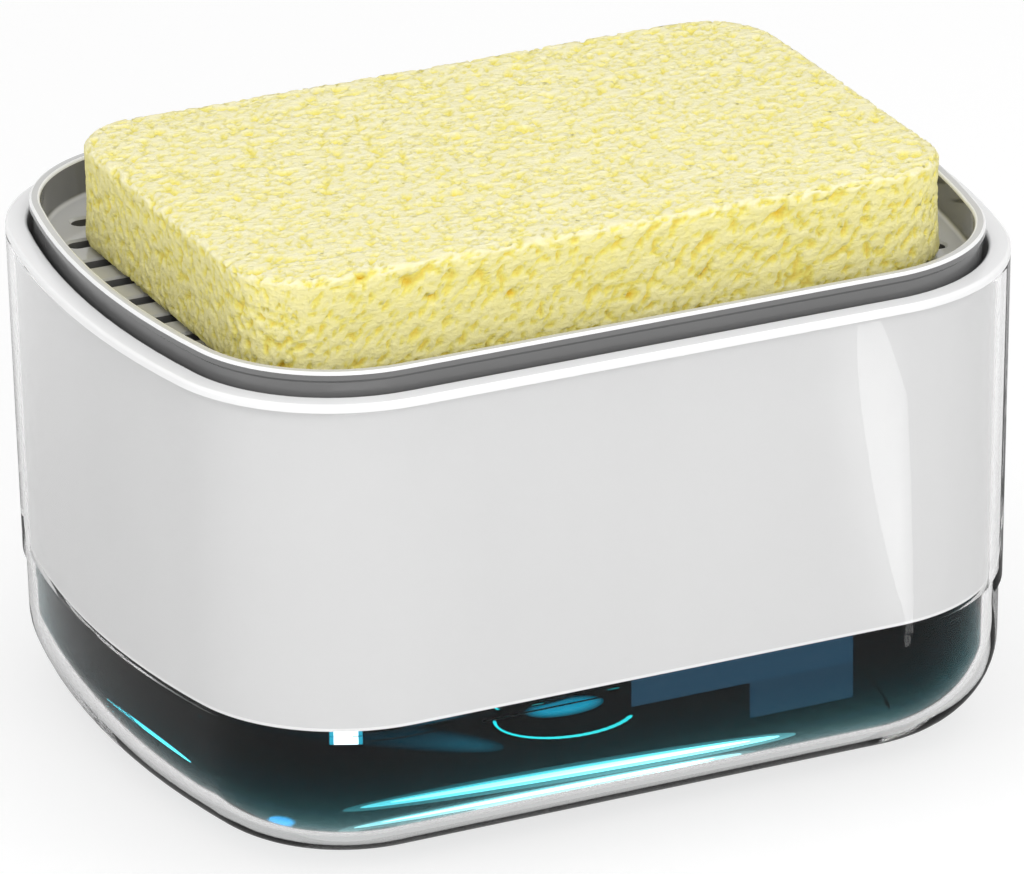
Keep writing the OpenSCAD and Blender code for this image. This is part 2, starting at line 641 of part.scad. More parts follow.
// Press tray: lipped wall, slotted floor, ribs and the pump head's socket below
module tray() {
    skirt_z = tray_under_z - tray_skirt;
    edge_z = lip_z - lip_h;
    lip_in = tray_in + lip_w;
    rib_z = tray_under_z - tray_skirt / 2;
    rib_x = slot_mid + slot_bridge / 2;
    lip_out_round = [for (k = [0:round_steps]) let (a = 90 * k / round_steps)
        [tray_in + lip_round * (1 - cos(a)), lip_z - lip_round * (1 - sin(a))]];
    lip_in_round = [for (k = [0:round_steps]) let (a = 90 * k / round_steps)
        [lip_in - lip_round * (1 - sin(a)), lip_z - lip_round * (1 - cos(a))]];
    color([0.5, 0.5, 0.5]) difference() {
        union() {
            outline_shell(concat([[tray_wall_in, skirt_z], [tray_wall_in, edge_z - lip_over],
                                  [tray_in, edge_z]], lip_out_round, lip_in_round,
                                 [[tray_bore, skirt_z]]), true);
            translate([0, 0, tray_under_z]) linear_extrude(tray_floor_t) difference() {
                polygon(outline(tray_wall_in + tray_wall / 2));
                drain_slots();
            }
            translate([0, 0, head_top_z]) cylinder(d = boss_d, h = boss_h + tray_floor_t / 2);
            translate([0, 0, rib_z])
                cube([plan_w - 2 * tray_bore, tray_rib_t, tray_skirt], center = true);
            for (x = [-rib_x, rib_x]) translate([x, 0, rib_z])
                cube([tray_rib_t, plan_d - 2 * tray_bore, tray_skirt], center = true);
        }
        translate([0, 0, skirt_z - overrun])
            cylinder(r = head_spigot_d / 2 + run_gap, h = tray_skirt + tray_floor_t + 2 * overrun);
        translate([0, 0, tray_floor_z - nozzle_t])
            cylinder(r = nozzle_d / 2 + press_gap, h = nozzle_t + overrun);
        translate([0, 0, skirt_z - overrun])
            cylinder(d = head_d + 2 * stop_gap, h = head_top_z - skirt_z + overrun);
    }
}

// Nozzle in the tray's floor, with a ring of holes round a middle one
module nozzle() {
    ring_r = (nozzle_d - nozzle_hole_d) / 4;
    color([0.75, 0.76, 0.77]) translate([0, 0, tray_floor_z - nozzle_t]) difference() {
        cylinder(d = nozzle_d, h = nozzle_t);
        translate([0, 0, -overrun]) {
            cylinder(d = nozzle_hole_d, h = nozzle_t + 2 * overrun);
            for (k = [0:nozzle_holes - 1]) rotate([0, 0, 360 * k / nozzle_holes])
                translate([ring_r, 0, 0]) cylinder(d = nozzle_hole_d, h = nozzle_t + 2 * overrun);
        }
    }
}

// Sponge: rounded block with soft edges, drawn sides and a low crown
module sponge() {
    corners = [[1, 1, 0], [-1, 1, 90], [-1, -1, 180], [1, -1, 270]];
    function plan(inset) = [for (c = corners)
        each arc(c.x * (sponge_l / 2 - sponge_r), c.y * (sponge_w / 2 - sponge_r),
                 sponge_r - inset, c.z, c.z + 90, corner_steps)];
    function layer(inset, z) = [for (p = plan(inset)) [p.x, p.y - sponge_shift, z]];
    // Over the crown the plan only shrinks towards the middle
    function shrunk(share, z) = [for (p = plan(sponge_edge))
        [p.x * share, p.y * share - sponge_shift, z]];
    top_z = sponge_z + sponge_t - sponge_crown;
    low_edge = [for (k = [0:round_steps]) let (a = 90 * k / round_steps)
        layer(sponge_edge * (1 - sin(a)), sponge_z + sponge_edge * (1 - cos(a)))];
    high_edge = [for (k = [0:round_steps]) let (a = 90 * k / round_steps)
        layer(sponge_edge * (1 - cos(a)), top_z - sponge_edge * (1 - sin(a)))];
    crown_shares = [0.75, 0.5, 0.25];
    crown = [for (share = crown_shares) shrunk(share, top_z + sponge_crown * (1 - share * share))];
    color([0.96, 0.94, 0.66]) loft(concat(low_edge,
        [layer(sponge_draw, sponge_z + sponge_t / 2)], high_edge, crown));
}

tank();
soap_fill();
sleeve();
rim_gasket();
pump_deck();
pump_gasket();
pump_chamber();
stem_guide();
lock_ring();
dip_tube();
suction_foot();
inlet_ball();
return_spring();
stem();
piston();
piston_seat();
pump_head();
outlet_ball();
tray();
nozzle();
sponge();
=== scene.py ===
"""Soap pump caddy: a clear tank of dark soap, a white insert with a press pump, a grey tray and a sponge.

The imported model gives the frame. The shells, the soap and the sponge are modelled here at the frame's
sizes, and the pump's own pieces keep their shape and get their finish. All sizes are in metres.
"""

import logging
import math
from collections.abc import Callable, Iterable, Sequence
from dataclasses import dataclass, field
from enum import Enum

import bmesh
import bpy
from mathutils import Matrix, Vector, noise


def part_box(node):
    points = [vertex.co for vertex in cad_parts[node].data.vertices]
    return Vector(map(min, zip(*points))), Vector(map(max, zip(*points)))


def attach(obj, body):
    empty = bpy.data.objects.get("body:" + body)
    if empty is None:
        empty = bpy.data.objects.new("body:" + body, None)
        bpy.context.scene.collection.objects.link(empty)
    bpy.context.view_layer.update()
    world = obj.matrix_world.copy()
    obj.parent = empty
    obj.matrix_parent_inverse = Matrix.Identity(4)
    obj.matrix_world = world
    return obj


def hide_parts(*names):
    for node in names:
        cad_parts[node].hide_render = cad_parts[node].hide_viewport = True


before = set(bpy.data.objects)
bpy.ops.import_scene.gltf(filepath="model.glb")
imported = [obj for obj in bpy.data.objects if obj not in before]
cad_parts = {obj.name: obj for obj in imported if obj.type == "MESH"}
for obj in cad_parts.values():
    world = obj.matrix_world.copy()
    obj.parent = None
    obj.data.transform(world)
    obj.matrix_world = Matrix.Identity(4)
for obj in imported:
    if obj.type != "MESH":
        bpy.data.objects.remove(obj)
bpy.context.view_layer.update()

log = logging.getLogger("caddy")

MM = 0.001
# TINY and NEAR are the distances up to which two points or heights count as one.
TINY = 1e-6
NEAR = 0.01 * MM
# A face with more sides than this is a cap.
MANY_SIDES = 8
# How far the walls lean in, and how far a fillet of radius 1 reaches from the corner at such a wall.
DRAFT_DEGREES = 1
DRAFT = math.tan(math.radians(DRAFT_DEGREES))
FILLET_REACH = math.tan(math.radians(90 + DRAFT_DEGREES) / 2)
SLEEVE_LOW, SLEEVE_HIGH = (corner.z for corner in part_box("sleeve"))
TRAY_LOW, LIP_HIGH = (corner.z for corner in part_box("tray"))
UP, TO_BACK, TO_RIGHT = (0, 0, 1), (0, 1, 0), (1, 0, 0)
WHITE = (1, 1, 1)
Colour = tuple[float, float, float]
Triple = tuple[float, float, float]
Piece, Socket = bpy.types.Object, bpy.types.NodeSocket


class Body(Enum):
    """The bodies that the new pieces ride on."""

    TANK = "tank_body"
    INSERT = "insert"
    TRAY = "press_tray"
    SPONGE = "sponge_block"


class Slot(Enum):
    """The record's material slots."""

    CLEAR_PLASTIC = "clear_plastic"
    SOAP = "soap"
    WHITE_GLOSS = "white_gloss"
    WHITE_MATTE = "white_matte"
    NATURAL_PLASTIC = "natural_plastic"
    CLEAR_SILICONE = "clear_silicone"
    SEAL_RUBBER = "seal_rubber"
    STEEL = "steel"
    GREY_GLOSS = "grey_gloss"
    GREY_SATIN = "grey_satin"
    CELLULOSE = "cellulose"


def deselect_all() -> None:
    """Leaves nothing selected, in object mode."""
    if bpy.context.object is not None and bpy.context.object.mode != "OBJECT":
        bpy.ops.object.mode_set(mode="OBJECT")
    bpy.ops.object.select_all(action="DESELECT")


def work_on(piece: Piece) -> None:
    """Makes a piece the only selected and the active one.

    Args:
        piece: The piece.
    """
    deselect_all()
    piece.select_set(True)
    bpy.context.view_layer.objects.active = piece


def edit(piece: Piece) -> None:
    """Opens a piece in edit mode with nothing selected.

    Args:
        piece: The piece.
    """
    work_on(piece)
    bpy.ops.object.mode_set(mode="EDIT")
    bpy.ops.mesh.select_mode(type="FACE")
    bpy.ops.mesh.select_all(action="DESELECT")


def leave_edit() -> None:
    """Goes back to object mode."""
    bpy.ops.object.mode_set(mode="OBJECT")


def pick_faces(piece: Piece, wanted: Callable[[bmesh.types.BMFace], bool]) -> int:
    """Selects the faces of a piece in edit mode that pass a test, and no others.

    Args:
        piece: The piece that is open in edit mode.
        wanted: Tells whether a face is wanted.

    Returns:
        How many faces were selected.
    """
    bpy.ops.mesh.select_mode(type="FACE")
    bpy.ops.mesh.select_all(action="DESELECT")
    mesh = bmesh.from_edit_mesh(piece.data)
    found = [face for face in mesh.faces if wanted(face)]
    for face in found:
        face.select_set(True)
    bmesh.update_edit_mesh(piece.data)
    return len(found)


def pick_cap(piece: Piece, height: float) -> None:
    """Selects the flat many-sided faces of a piece at a height.

    Args:
        piece: The piece that is open in edit mode.
        height: Their height.
    """
    if not pick_faces(
        piece, lambda f: len(f.verts) > MANY_SIDES and abs(f.calc_center_median().z - height) < NEAR
    ):
        raise ValueError(f"{piece.name} has no flat face at {height / MM:.2f} mm")


def pick_edges(piece: Piece, wanted: Callable[[Vector, Vector], bool]) -> None:
    """Selects the edges of a piece in edit mode whose two ends pass a test.

    Args:
        piece: The piece that is open in edit mode.
        wanted: Tells from an edge's two ends whether it is wanted.
    """
    bpy.ops.mesh.select_mode(type="EDGE")
    bpy.ops.mesh.select_all(action="DESELECT")
    mesh = bmesh.from_edit_mesh(piece.data)
    for edge in mesh.edges:
        if wanted(edge.verts[0].co, edge.verts[1].co):
            edge.select_set(True)
    bmesh.update_edit_mesh(piece.data)


def pick_rim(piece: Piece, height: float) -> None:
    """Selects the edges on both sides of a flat rim.

    Args:
        piece: The piece that is open in edit mode.
        height: The rim's height.
    """
    pick_faces(piece, lambda f: all(abs(v.co.z - height) < NEAR for v in f.verts))
    bpy.ops.mesh.region_to_loop()


def round_selected(width: float, steps: int) -> None:
    """Bevels the selected edges round.

    Args:
        width: How far the bevel reaches from the edge.
        steps: Its segments.
    """
    bpy.ops.mesh.bevel(
        offset=width, offset_type="OFFSET", segments=steps, affect="EDGES", clamp_overlap=False
    )


def apply_modifier(piece: Piece, kind: str, **values: object) -> None:
    """Adds a modifier to a piece, sets it and applies it.

    Args:
        piece: The piece.
        kind: The modifier's type.
        values: Its settings.
    """
    work_on(piece)
    modifier = piece.modifiers.new(kind.lower(), kind)
    for name, value in values.items():
        setattr(modifier, name, value)
    bpy.ops.object.modifier_apply(modifier=modifier.name)


def join_solid(piece: Piece, tool: Piece, operation: str) -> None:
    """Unites a tool with a piece, or cuts it out, and removes the tool.

    Args:
        piece: The piece that stays.
        tool: The solid that is joined or cut out.
        operation: UNION or DIFFERENCE.
    """
    apply_modifier(piece, "BOOLEAN", operation=operation, object=tool, solver="EXACT")
    bpy.data.objects.remove(tool)


def finish_surface(piece: Piece, sharp_above: float = 35.0) -> None:
    """Shades a piece smooth, keeps its sharp edges and its flats flat.

    Args:
        piece: The piece.
        sharp_above: The angle in degrees from which an edge stays sharp.
    """
    work_on(piece)
    bpy.ops.object.shade_smooth_by_angle(angle=math.radians(sharp_above))
    apply_modifier(piece, "WEIGHTED_NORMAL", keep_sharp=True, weight=100)


def disc(name: str, radius: float, low: float, high: float) -> Piece:
    """Models an upright round block on the axis.

    Args:
        name: The block's name.
        radius: Its radius.
        low: Its lower end.
        high: Its upper end.

    Returns:
        The block.
    """
    deselect_all()
    bpy.ops.mesh.primitive_cylinder_add(vertices=64, radius=radius, depth=high - low)
    piece = bpy.context.object
    piece.name = name
    piece.data.transform(Matrix.Translation((0, 0, (low + high) / 2)))
    return piece


def tube(name: str, outer: float, inner: float, low: float, high: float, edge: float) -> Piece:
    """Models an upright tube on the axis, with a rounded top.

    Args:
        name: The tube's name.
        outer: Its outside radius.
        inner: Its inside radius.
        low: Its lower end.
        high: Its upper end.
        edge: The rounding of its upper edges.

    Returns:
        The tube.
    """
    piece = disc(name, outer, low, high)
    edit(piece)
    pick_faces(piece, lambda f: len(f.verts) > MANY_SIDES)
    bpy.ops.mesh.inset(thickness=outer - inner)
    bpy.ops.mesh.bridge_edge_loops()
    pick_edges(piece, lambda a, b: min(a.z, b.z) > high - TINY and abs(a.xy.length - b.xy.length) < TINY)
    round_selected(edge, 3)
    leave_edit()
    return piece


class Nodes:
    """Short hand for wiring a material or the world."""

    def __init__(self, owner: bpy.types.Material | bpy.types.World, output: str = "Material") -> None:
        """Empties the node tree of a material or a world.

        Args:
            owner: The material or the world.
            output: Material or World.
        """
        owner.use_nodes = True
        self.owner = owner
        self.tree = owner.node_tree
        self.tree.nodes.clear()
        self.output = self.add(f"ShaderNodeOutput{output}")

    @classmethod
    def of_new(cls, name: str) -> "Nodes":
        """Starts an empty material of that name."""
        return cls(bpy.data.materials.new(name))

    def add(self, kind: str, **values: object) -> bpy.types.Node:
        """Adds a node.

        Args:
            kind: The node's type.
            values: Its properties and plain inputs. An input's name has _ for a space.

        Returns:
            The node.
        """
        node = self.tree.nodes.new(kind)
        for name, value in values.items():
            if name in node.bl_rna.properties:
                setattr(node, name, value)
            else:
                node.inputs[name.replace("_", " ")].default_value = value
        return node

    def link(self, source: Socket, target: Socket) -> None:
        """Wires an output to an input."""
        self.tree.links.new(source, target)

    def surface(self, shader: Socket) -> None:
        """Shows a shader on the surface."""
        self.link(shader, self.output.inputs["Surface"])

    def place(self, scale: Triple = (1, 1, 1)) -> Socket:
        """Gives the piece's own coordinates.

        Args:
            scale: How much they are stretched along each axis.

        Returns:
            The coordinates.
        """
        coordinates = self.add("ShaderNodeTexCoord")
        mapping = self.add("ShaderNodeMapping", Scale=scale)
        self.link(coordinates.outputs["Object"], mapping.inputs["Vector"])
        return mapping.outputs["Vector"]

    def noise(self, scale: float, detail: float = 3, stretch: Triple = (1, 1, 1)) -> Socket:
        """Gives a noise pattern on the piece's own coordinates.

        Args:
            scale: Waves per metre.
            detail: Octaves of detail.
            stretch: How much denser the pattern is along each axis.

        Returns:
            The pattern's value.
        """
        node = self.add("ShaderNodeTexNoise", Scale=scale, Detail=detail)
        self.link(self.place(stretch), node.inputs["Vector"])
        return node.outputs["Fac"]

    def ramp(self, source: Socket, stops: Sequence[tuple]) -> Socket:
        """Turns a value into a colour.

        Args:
            source: The value.
            stops: Places from 0 to 1, each with its colour.

        Returns:
            The colour.
        """
        node = self.add("ShaderNodeValToRGB")
        elements = node.color_ramp.elements
        while len(elements) < len(stops):
            elements.new(0.5)
        for element, (place, colour) in zip(elements, stops, strict=True):
            element.position = place
            element.color = (*colour, 1)
        self.link(source, node.inputs["Fac"])
        return node.outputs["Color"]

    def map_range(
        self, source: Socket, start: Sequence[float], end: Sequence[float], smooth: bool = True
    ) -> Socket:
        """Maps one range of values to another.

        Args:
            source: The value.
            start: The range that it comes in.
            end: The range that it is mapped to.
            smooth: Eases in and out.

        Returns:
            The mapped value.
        """
        node = self.add("ShaderNodeMapRange", interpolation_type="SMOOTHSTEP" if smooth else "LINEAR")
        for name, value in zip(("From Min", "From Max", "To Min", "To Max"), (*start, *end), strict=True):
            node.inputs[name].default_value = value
        self.link(source, node.inputs["Value"])
        return node.outputs["Result"]

    def height_of(self, vector: Socket) -> Socket:
        """Gives the upward part of a vector.

        Args:
            vector: The vector.

        Returns:
            Its z.
        """
        split = self.add("ShaderNodeSeparateXYZ")
        self.link(vector, split.inputs["Vector"])
        return split.outputs["Z"]

    def facing_up(self, low: float, high: float) -> Socket:
        """Tells how far the surface faces up.

        Args:
            low: The upward slope up to which the value is 0.
            high: The upward slope from which it is 1.

        Returns:
            The value.
        """
        geometry = self.add("ShaderNodeNewGeometry")
        return self.map_range(self.height_of(geometry.outputs["Normal"]), (low, high), (0, 1))

    def between(self, low: float, high: float) -> Socket:
        """Picks out a band of heights.

        Args:
            low: The band's lower end.
            high: Its upper end.

        Returns:
            1 in the band and 0 elsewhere.
        """
        node = self.add("ShaderNodeMath", operation="COMPARE")
        node.inputs[1].default_value = (low + high) / 2
        node.inputs[2].default_value = (high - low) / 2
        self.link(self.height_of(self.place()), node.inputs[0])
        return node.outputs[0]

    def blend(self, share: Socket, base: Socket, colour: Colour) -> Socket:
        """Mixes a plain colour over another.

        Args:
            share: How much of the plain colour shows.
            base: The colour under it.
            colour: The plain colour.

        Returns:
            The mixed colour.
        """
        mix = self.add("ShaderNodeMix", data_type="RGBA")
        self.link(share, mix.inputs["Factor"])
        self.link(base, mix.inputs[6])
        mix.inputs[7].default_value = (*colour, 1)
        return mix.outputs[2]

    def mix(self, share: Socket, base: Socket, over: Socket) -> Socket:
        """Mixes two shaders.

        Args:
            share: How much of the second one shows.
            base: The first one.
            over: The second one.

        Returns:
            The mixed shader.
        """
        mix = self.add("ShaderNodeMixShader")
        for source, target in zip((share, base, over), mix.inputs, strict=True):
            self.link(source, target)
        return mix.outputs["Shader"]

    def bump(self, source: Socket, height: float, strength: float = 1) -> Socket:
        """Turns a value into a bumped normal.

        Args:
            source: The value.
            height: The height of the bumps in metres.
            strength: How much they show, from 0 to 1.

        Returns:
            The normal.
        """
        node = self.add("ShaderNodeBump", Strength=strength, Distance=height)
        self.link(source, node.inputs["Height"])
        return node.outputs["Normal"]

    def seen_rays(self) -> Socket:
        """Gives 1 for camera, glossy and transmission rays and 0 for the rest.

        Returns:
            That value.
        """
        path = self.add("ShaderNodeLightPath")
        total = path.outputs["Is Camera Ray"]
        for name in ("Is Glossy Ray", "Is Transmission Ray"):
            larger = self.add("ShaderNodeMath", operation="MAXIMUM")
            self.link(total, larger.inputs[0])
            self.link(path.outputs[name], larger.inputs[1])
            total = larger.outputs[0]
        return total


def toned(colour: Colour, factor: float) -> Colour:
    """Makes a colour lighter or darker by a factor."""
    return tuple(min(1.0, part * factor) for part in colour)


@dataclass(frozen=True)
class Moulded:
    """Moulded plastic, rubber or metal, with faint flow marks in its colour and gloss. Its colour can also
    carry painted light: a lighter colour where the surface faces up, and near-white painted highlight bands
    at given heights.
    """

    name: str
    colour: Colour
    roughness: float
    metallic: float = 0.0
    mottle: float = 0.03
    mottle_scale: float = 60.0
    flow_stretch: Triple = (1, 1, 0.3)
    noise_range: tuple[float, float] = (0.3, 0.7)
    gloss_spread: tuple[float, float] = (0.9, 1.15)
    grain: float = 0.0
    grain_scale: float = 2500.0
    subsurface: float = 0.0
    # Painted light: the faces that look up get this lighter colour.
    lit_top_colour: Colour | None = None
    lit_top_slope: tuple[float, float] = (0.2, 0.85)
    # Painted highlights: bands of heights that get a near-white colour.
    highlight_colour: Colour = (0.97, 0.97, 0.97)
    highlight_bands: tuple[tuple[float, float], ...] = ()

    def material(self) -> bpy.types.Material:
        """Builds the material."""
        nodes = Nodes.of_new(self.name)
        shader = nodes.add("ShaderNodeBsdfPrincipled", Metallic=self.metallic)
        if self.subsurface > 0:
            shader.inputs["Subsurface Weight"].default_value = self.subsurface
            shader.inputs["Subsurface Scale"].default_value = MM
        flow = nodes.noise(self.mottle_scale, 2, self.flow_stretch)
        tones = (toned(self.colour, 1 - self.mottle), toned(self.colour, 1 + self.mottle))
        colour = nodes.ramp(flow, tuple(zip(self.noise_range, tones, strict=True)))
        # Painted light: where the surface faces up it takes the lighter top colour.
        if self.lit_top_colour is not None:
            colour = nodes.blend(nodes.facing_up(*self.lit_top_slope), colour, self.lit_top_colour)
        # Painted highlights: each band of heights takes the near-white highlight colour.
        for rim in self.highlight_bands:
            colour = nodes.blend(nodes.between(*rim), colour, self.highlight_colour)
        nodes.link(colour, shader.inputs["Base Color"])
        spread = [self.roughness * part for part in self.gloss_spread]
        gloss = nodes.map_range(nodes.noise(self.mottle_scale * 3), self.noise_range, spread, smooth=False)
        nodes.link(gloss, shader.inputs["Roughness"])
        if self.grain > 0:
            grain = nodes.noise(self.grain_scale, 2)
            nodes.link(nodes.bump(grain, self.grain), shader.inputs["Normal"])
        nodes.surface(shader.outputs["BSDF"])
        return nodes.owner


@dataclass(frozen=True)
class Clear:
    """Clear plastic or liquid. Light from the lamps goes straight through it, so that what is inside is lit.

    The coat gives the surface its reflections, and the bend says how far it turns what is seen through it.
    """

    name: str
    tint: Colour
    bend: float
    coat: float
    depth_colour: Colour
    depth_density: float
    coat_bend: float = 1.49

    def material(self) -> bpy.types.Material:
        """Builds the material."""
        nodes = Nodes.of_new(self.name)
        shader = nodes.add(
            "ShaderNodeBsdfPrincipled",
            Base_Color=(*self.tint, 1),
            IOR=self.bend,
            Roughness=0,
            Transmission_Weight=1,
            Coat_Weight=self.coat,
            Coat_IOR=self.coat_bend,
            Coat_Roughness=0,
        )
        straight = nodes.add("ShaderNodeBsdfTransparent", Color=(*self.tint, 1))
        path = nodes.add("ShaderNodeLightPath")
        surface = shader.outputs["BSDF"]
        for ray in ("Is Shadow Ray", "Is Diffuse Ray"):
            surface = nodes.mix(path.outputs[ray], surface, straight.outputs["BSDF"])
        nodes.surface(surface)
        volume = nodes.add("ShaderNodeVolumeAbsorption", Density=self.depth_density)
        volume.inputs["Color"].default_value = (*self.depth_colour, 1)
        nodes.link(volume.outputs["Volume"], nodes.output.inputs["Volume"])
        return nodes.owner


@dataclass(frozen=True)
class Cellulose:
    """Cellulose foam: pale cream skin with fine fibres over it, and painted shade that turns it yellow and
    orange in its pores and deeper on its sides.

    A noise is given by its waves per metre, its octaves and its stretch.
    """

    name: str
    # The ramp runs from light to deep by painted shade: pore and deep are the painted shade colours in the
    # pores.
    light: Colour = (0.99, 0.94, 0.67)
    skin: Colour = (0.97, 0.90, 0.46)
    pore: Colour = (0.97, 0.87, 0.22)
    deep: Colour = (0.84, 0.58, 0.06)
    depths: tuple[float, float, float, float] = (0.05, 0.2, 0.5, 0.95)
    fibre_share: float = 0.22
    fibre_noise: tuple[float, float, Triple] = (900, 4, (0.45, 1, 1))
    side_shade: float = 0.14
    side_slope: tuple[float, float] = (0.1, 0.7)
    fuzz: float = 0.5 * MM
    fuzz_strength: float = 0.8
    fuzz_noise: tuple[float, float, Triple] = (1600, 5, (0.6, 1, 1))

    def material(self) -> bpy.types.Material:
        """Builds the material, which paints shade from how deep each point lies in a pore, and onto the
        sides.
        """
        nodes = Nodes.of_new(self.name)
        shader = nodes.add("ShaderNodeBsdfPrincipled", Roughness=0.85, Specular_IOR_Level=0.25)
        # Painted shade: the deeper a point lies in a pore, the further down the ramp its colour.
        depth = nodes.add("ShaderNodeAttribute", attribute_name="pore_depth")
        fibre = nodes.noise(*self.fibre_noise)
        shade = nodes.add("ShaderNodeMath", operation="MULTIPLY_ADD")
        shade.inputs[1].default_value = self.fibre_share
        nodes.link(fibre, shade.inputs[0])
        # Painted shade: faces that do not look up get a deeper colour.
        sides = nodes.add("ShaderNodeMath", operation="MULTIPLY_ADD")
        sides.inputs[1].default_value, sides.inputs[2].default_value = -self.side_shade, self.side_shade
        nodes.link(nodes.facing_up(*self.side_slope), sides.inputs[0])
        deeper = nodes.add("ShaderNodeMath")
        nodes.link(depth.outputs["Fac"], deeper.inputs[0])
        nodes.link(sides.outputs[0], deeper.inputs[1])
        nodes.link(deeper.outputs[0], shade.inputs[2])
        colours = (self.light, self.skin, self.pore, self.deep)
        colour = nodes.ramp(shade.outputs[0], tuple(zip(self.depths, colours, strict=True)))
        nodes.link(colour, shader.inputs["Base Color"])
        fine = nodes.noise(*self.fuzz_noise)
        nodes.link(nodes.bump(fine, self.fuzz, self.fuzz_strength), shader.inputs["Normal"])
        nodes.surface(shader.outputs["BSDF"])
        return nodes.owner


FINISHES = {
    Slot.CLEAR_PLASTIC: Clear(
        "clear_plastic",
        tint=(0.985, 0.985, 0.985),
        bend=1.05,
        coat=0.25,
        depth_colour=(0.03, 0.03, 0.03),
        depth_density=10.0,
    ),
    Slot.SOAP: Clear(
        "blue_green_soap",
        tint=WHITE,
        bend=1.03,
        coat=0.1,
        coat_bend=1.34,
        depth_colour=(0.375, 0.62, 0.64),
        depth_density=400.0,
    ),
    Slot.WHITE_GLOSS: Moulded(
        "white_gloss",
        (0.778, 0.778, 0.778),
        roughness=0.16,
        mottle=0.01,
        # Painted highlights: near-white bands at the skirt's lower edge and along the flange's top edge.
        highlight_bands=((SLEEVE_LOW - MM, SLEEVE_LOW + 0.55 * MM), (SLEEVE_HIGH - 1.2 * MM, SLEEVE_HIGH + MM)),
    ),
    Slot.WHITE_MATTE: Moulded("white_matte", (0.82, 0.82, 0.81), roughness=0.45, grain=0.02 * MM),
    Slot.NATURAL_PLASTIC: Moulded("natural_plastic", (0.72, 0.76, 0.76), roughness=0.3, subsurface=0.2),
    Slot.CLEAR_SILICONE: Moulded("clear_silicone", (0.68, 0.70, 0.70), roughness=0.4, subsurface=0.3),
    Slot.SEAL_RUBBER: Moulded("seal_rubber", (0.035, 0.035, 0.038), roughness=0.55, grain=0.03 * MM),
    Slot.STEEL: Moulded("spring_steel", (0.62, 0.62, 0.64), roughness=0.22, metallic=1, mottle=0.06),
    Slot.GREY_GLOSS: Moulded(
        "grey_gloss",
        (0.17, 0.17, 0.17),
        roughness=0.07,
        mottle=0.02,
        # Painted light: darker grey walls, a lighter grey where the tray faces up, and a painted highlight
        # band at the lip's top edge.
        lit_top_colour=(0.62, 0.62, 0.62),
        highlight_bands=((LIP_HIGH - 0.45 * MM, LIP_HIGH - 0.015 * MM),),
    ),
    Slot.GREY_SATIN: Moulded("grey_satin", (0.45, 0.46, 0.47), roughness=0.35, mottle=0.03),
    Slot.CELLULOSE: Cellulose("yellow_cellulose"),
}


class Finishes:
    """Makes each finish once and puts it on pieces."""

    def __init__(self) -> None:
        """Starts with no material made."""
        self.made: dict[Slot, bpy.types.Material] = {}

    def material(self, slot: Slot) -> bpy.types.Material:
        """Gives the material of a slot.

        Args:
            slot: The slot.

        Returns:
            Its material.
        """
        if slot not in self.made:
            self.made[slot] = FINISHES[slot].material()
        return self.made[slot]

    def dress(self, piece: Piece, slot: Slot) -> None:
        """Puts a slot's finish on a piece, in place of what it has."""
        piece.data.materials.clear()
        piece.data.materials.append(self.material(slot))

    def stand_for(self, piece: Piece, node: str, body: Body, slot: Slot) -> None:
        """Finishes a new piece, lets it ride and hides the node that it stands for.

        Args:
            piece: The new piece.
            node: The node that it replaces.
            body: The body that it rides on.
            slot: Its finish.
        """
        self.dress(piece, slot)
        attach(piece, body.value)
        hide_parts(node)
        log.info("%s replaces %s: %d faces", piece.name, node, len(piece.data.polygons))


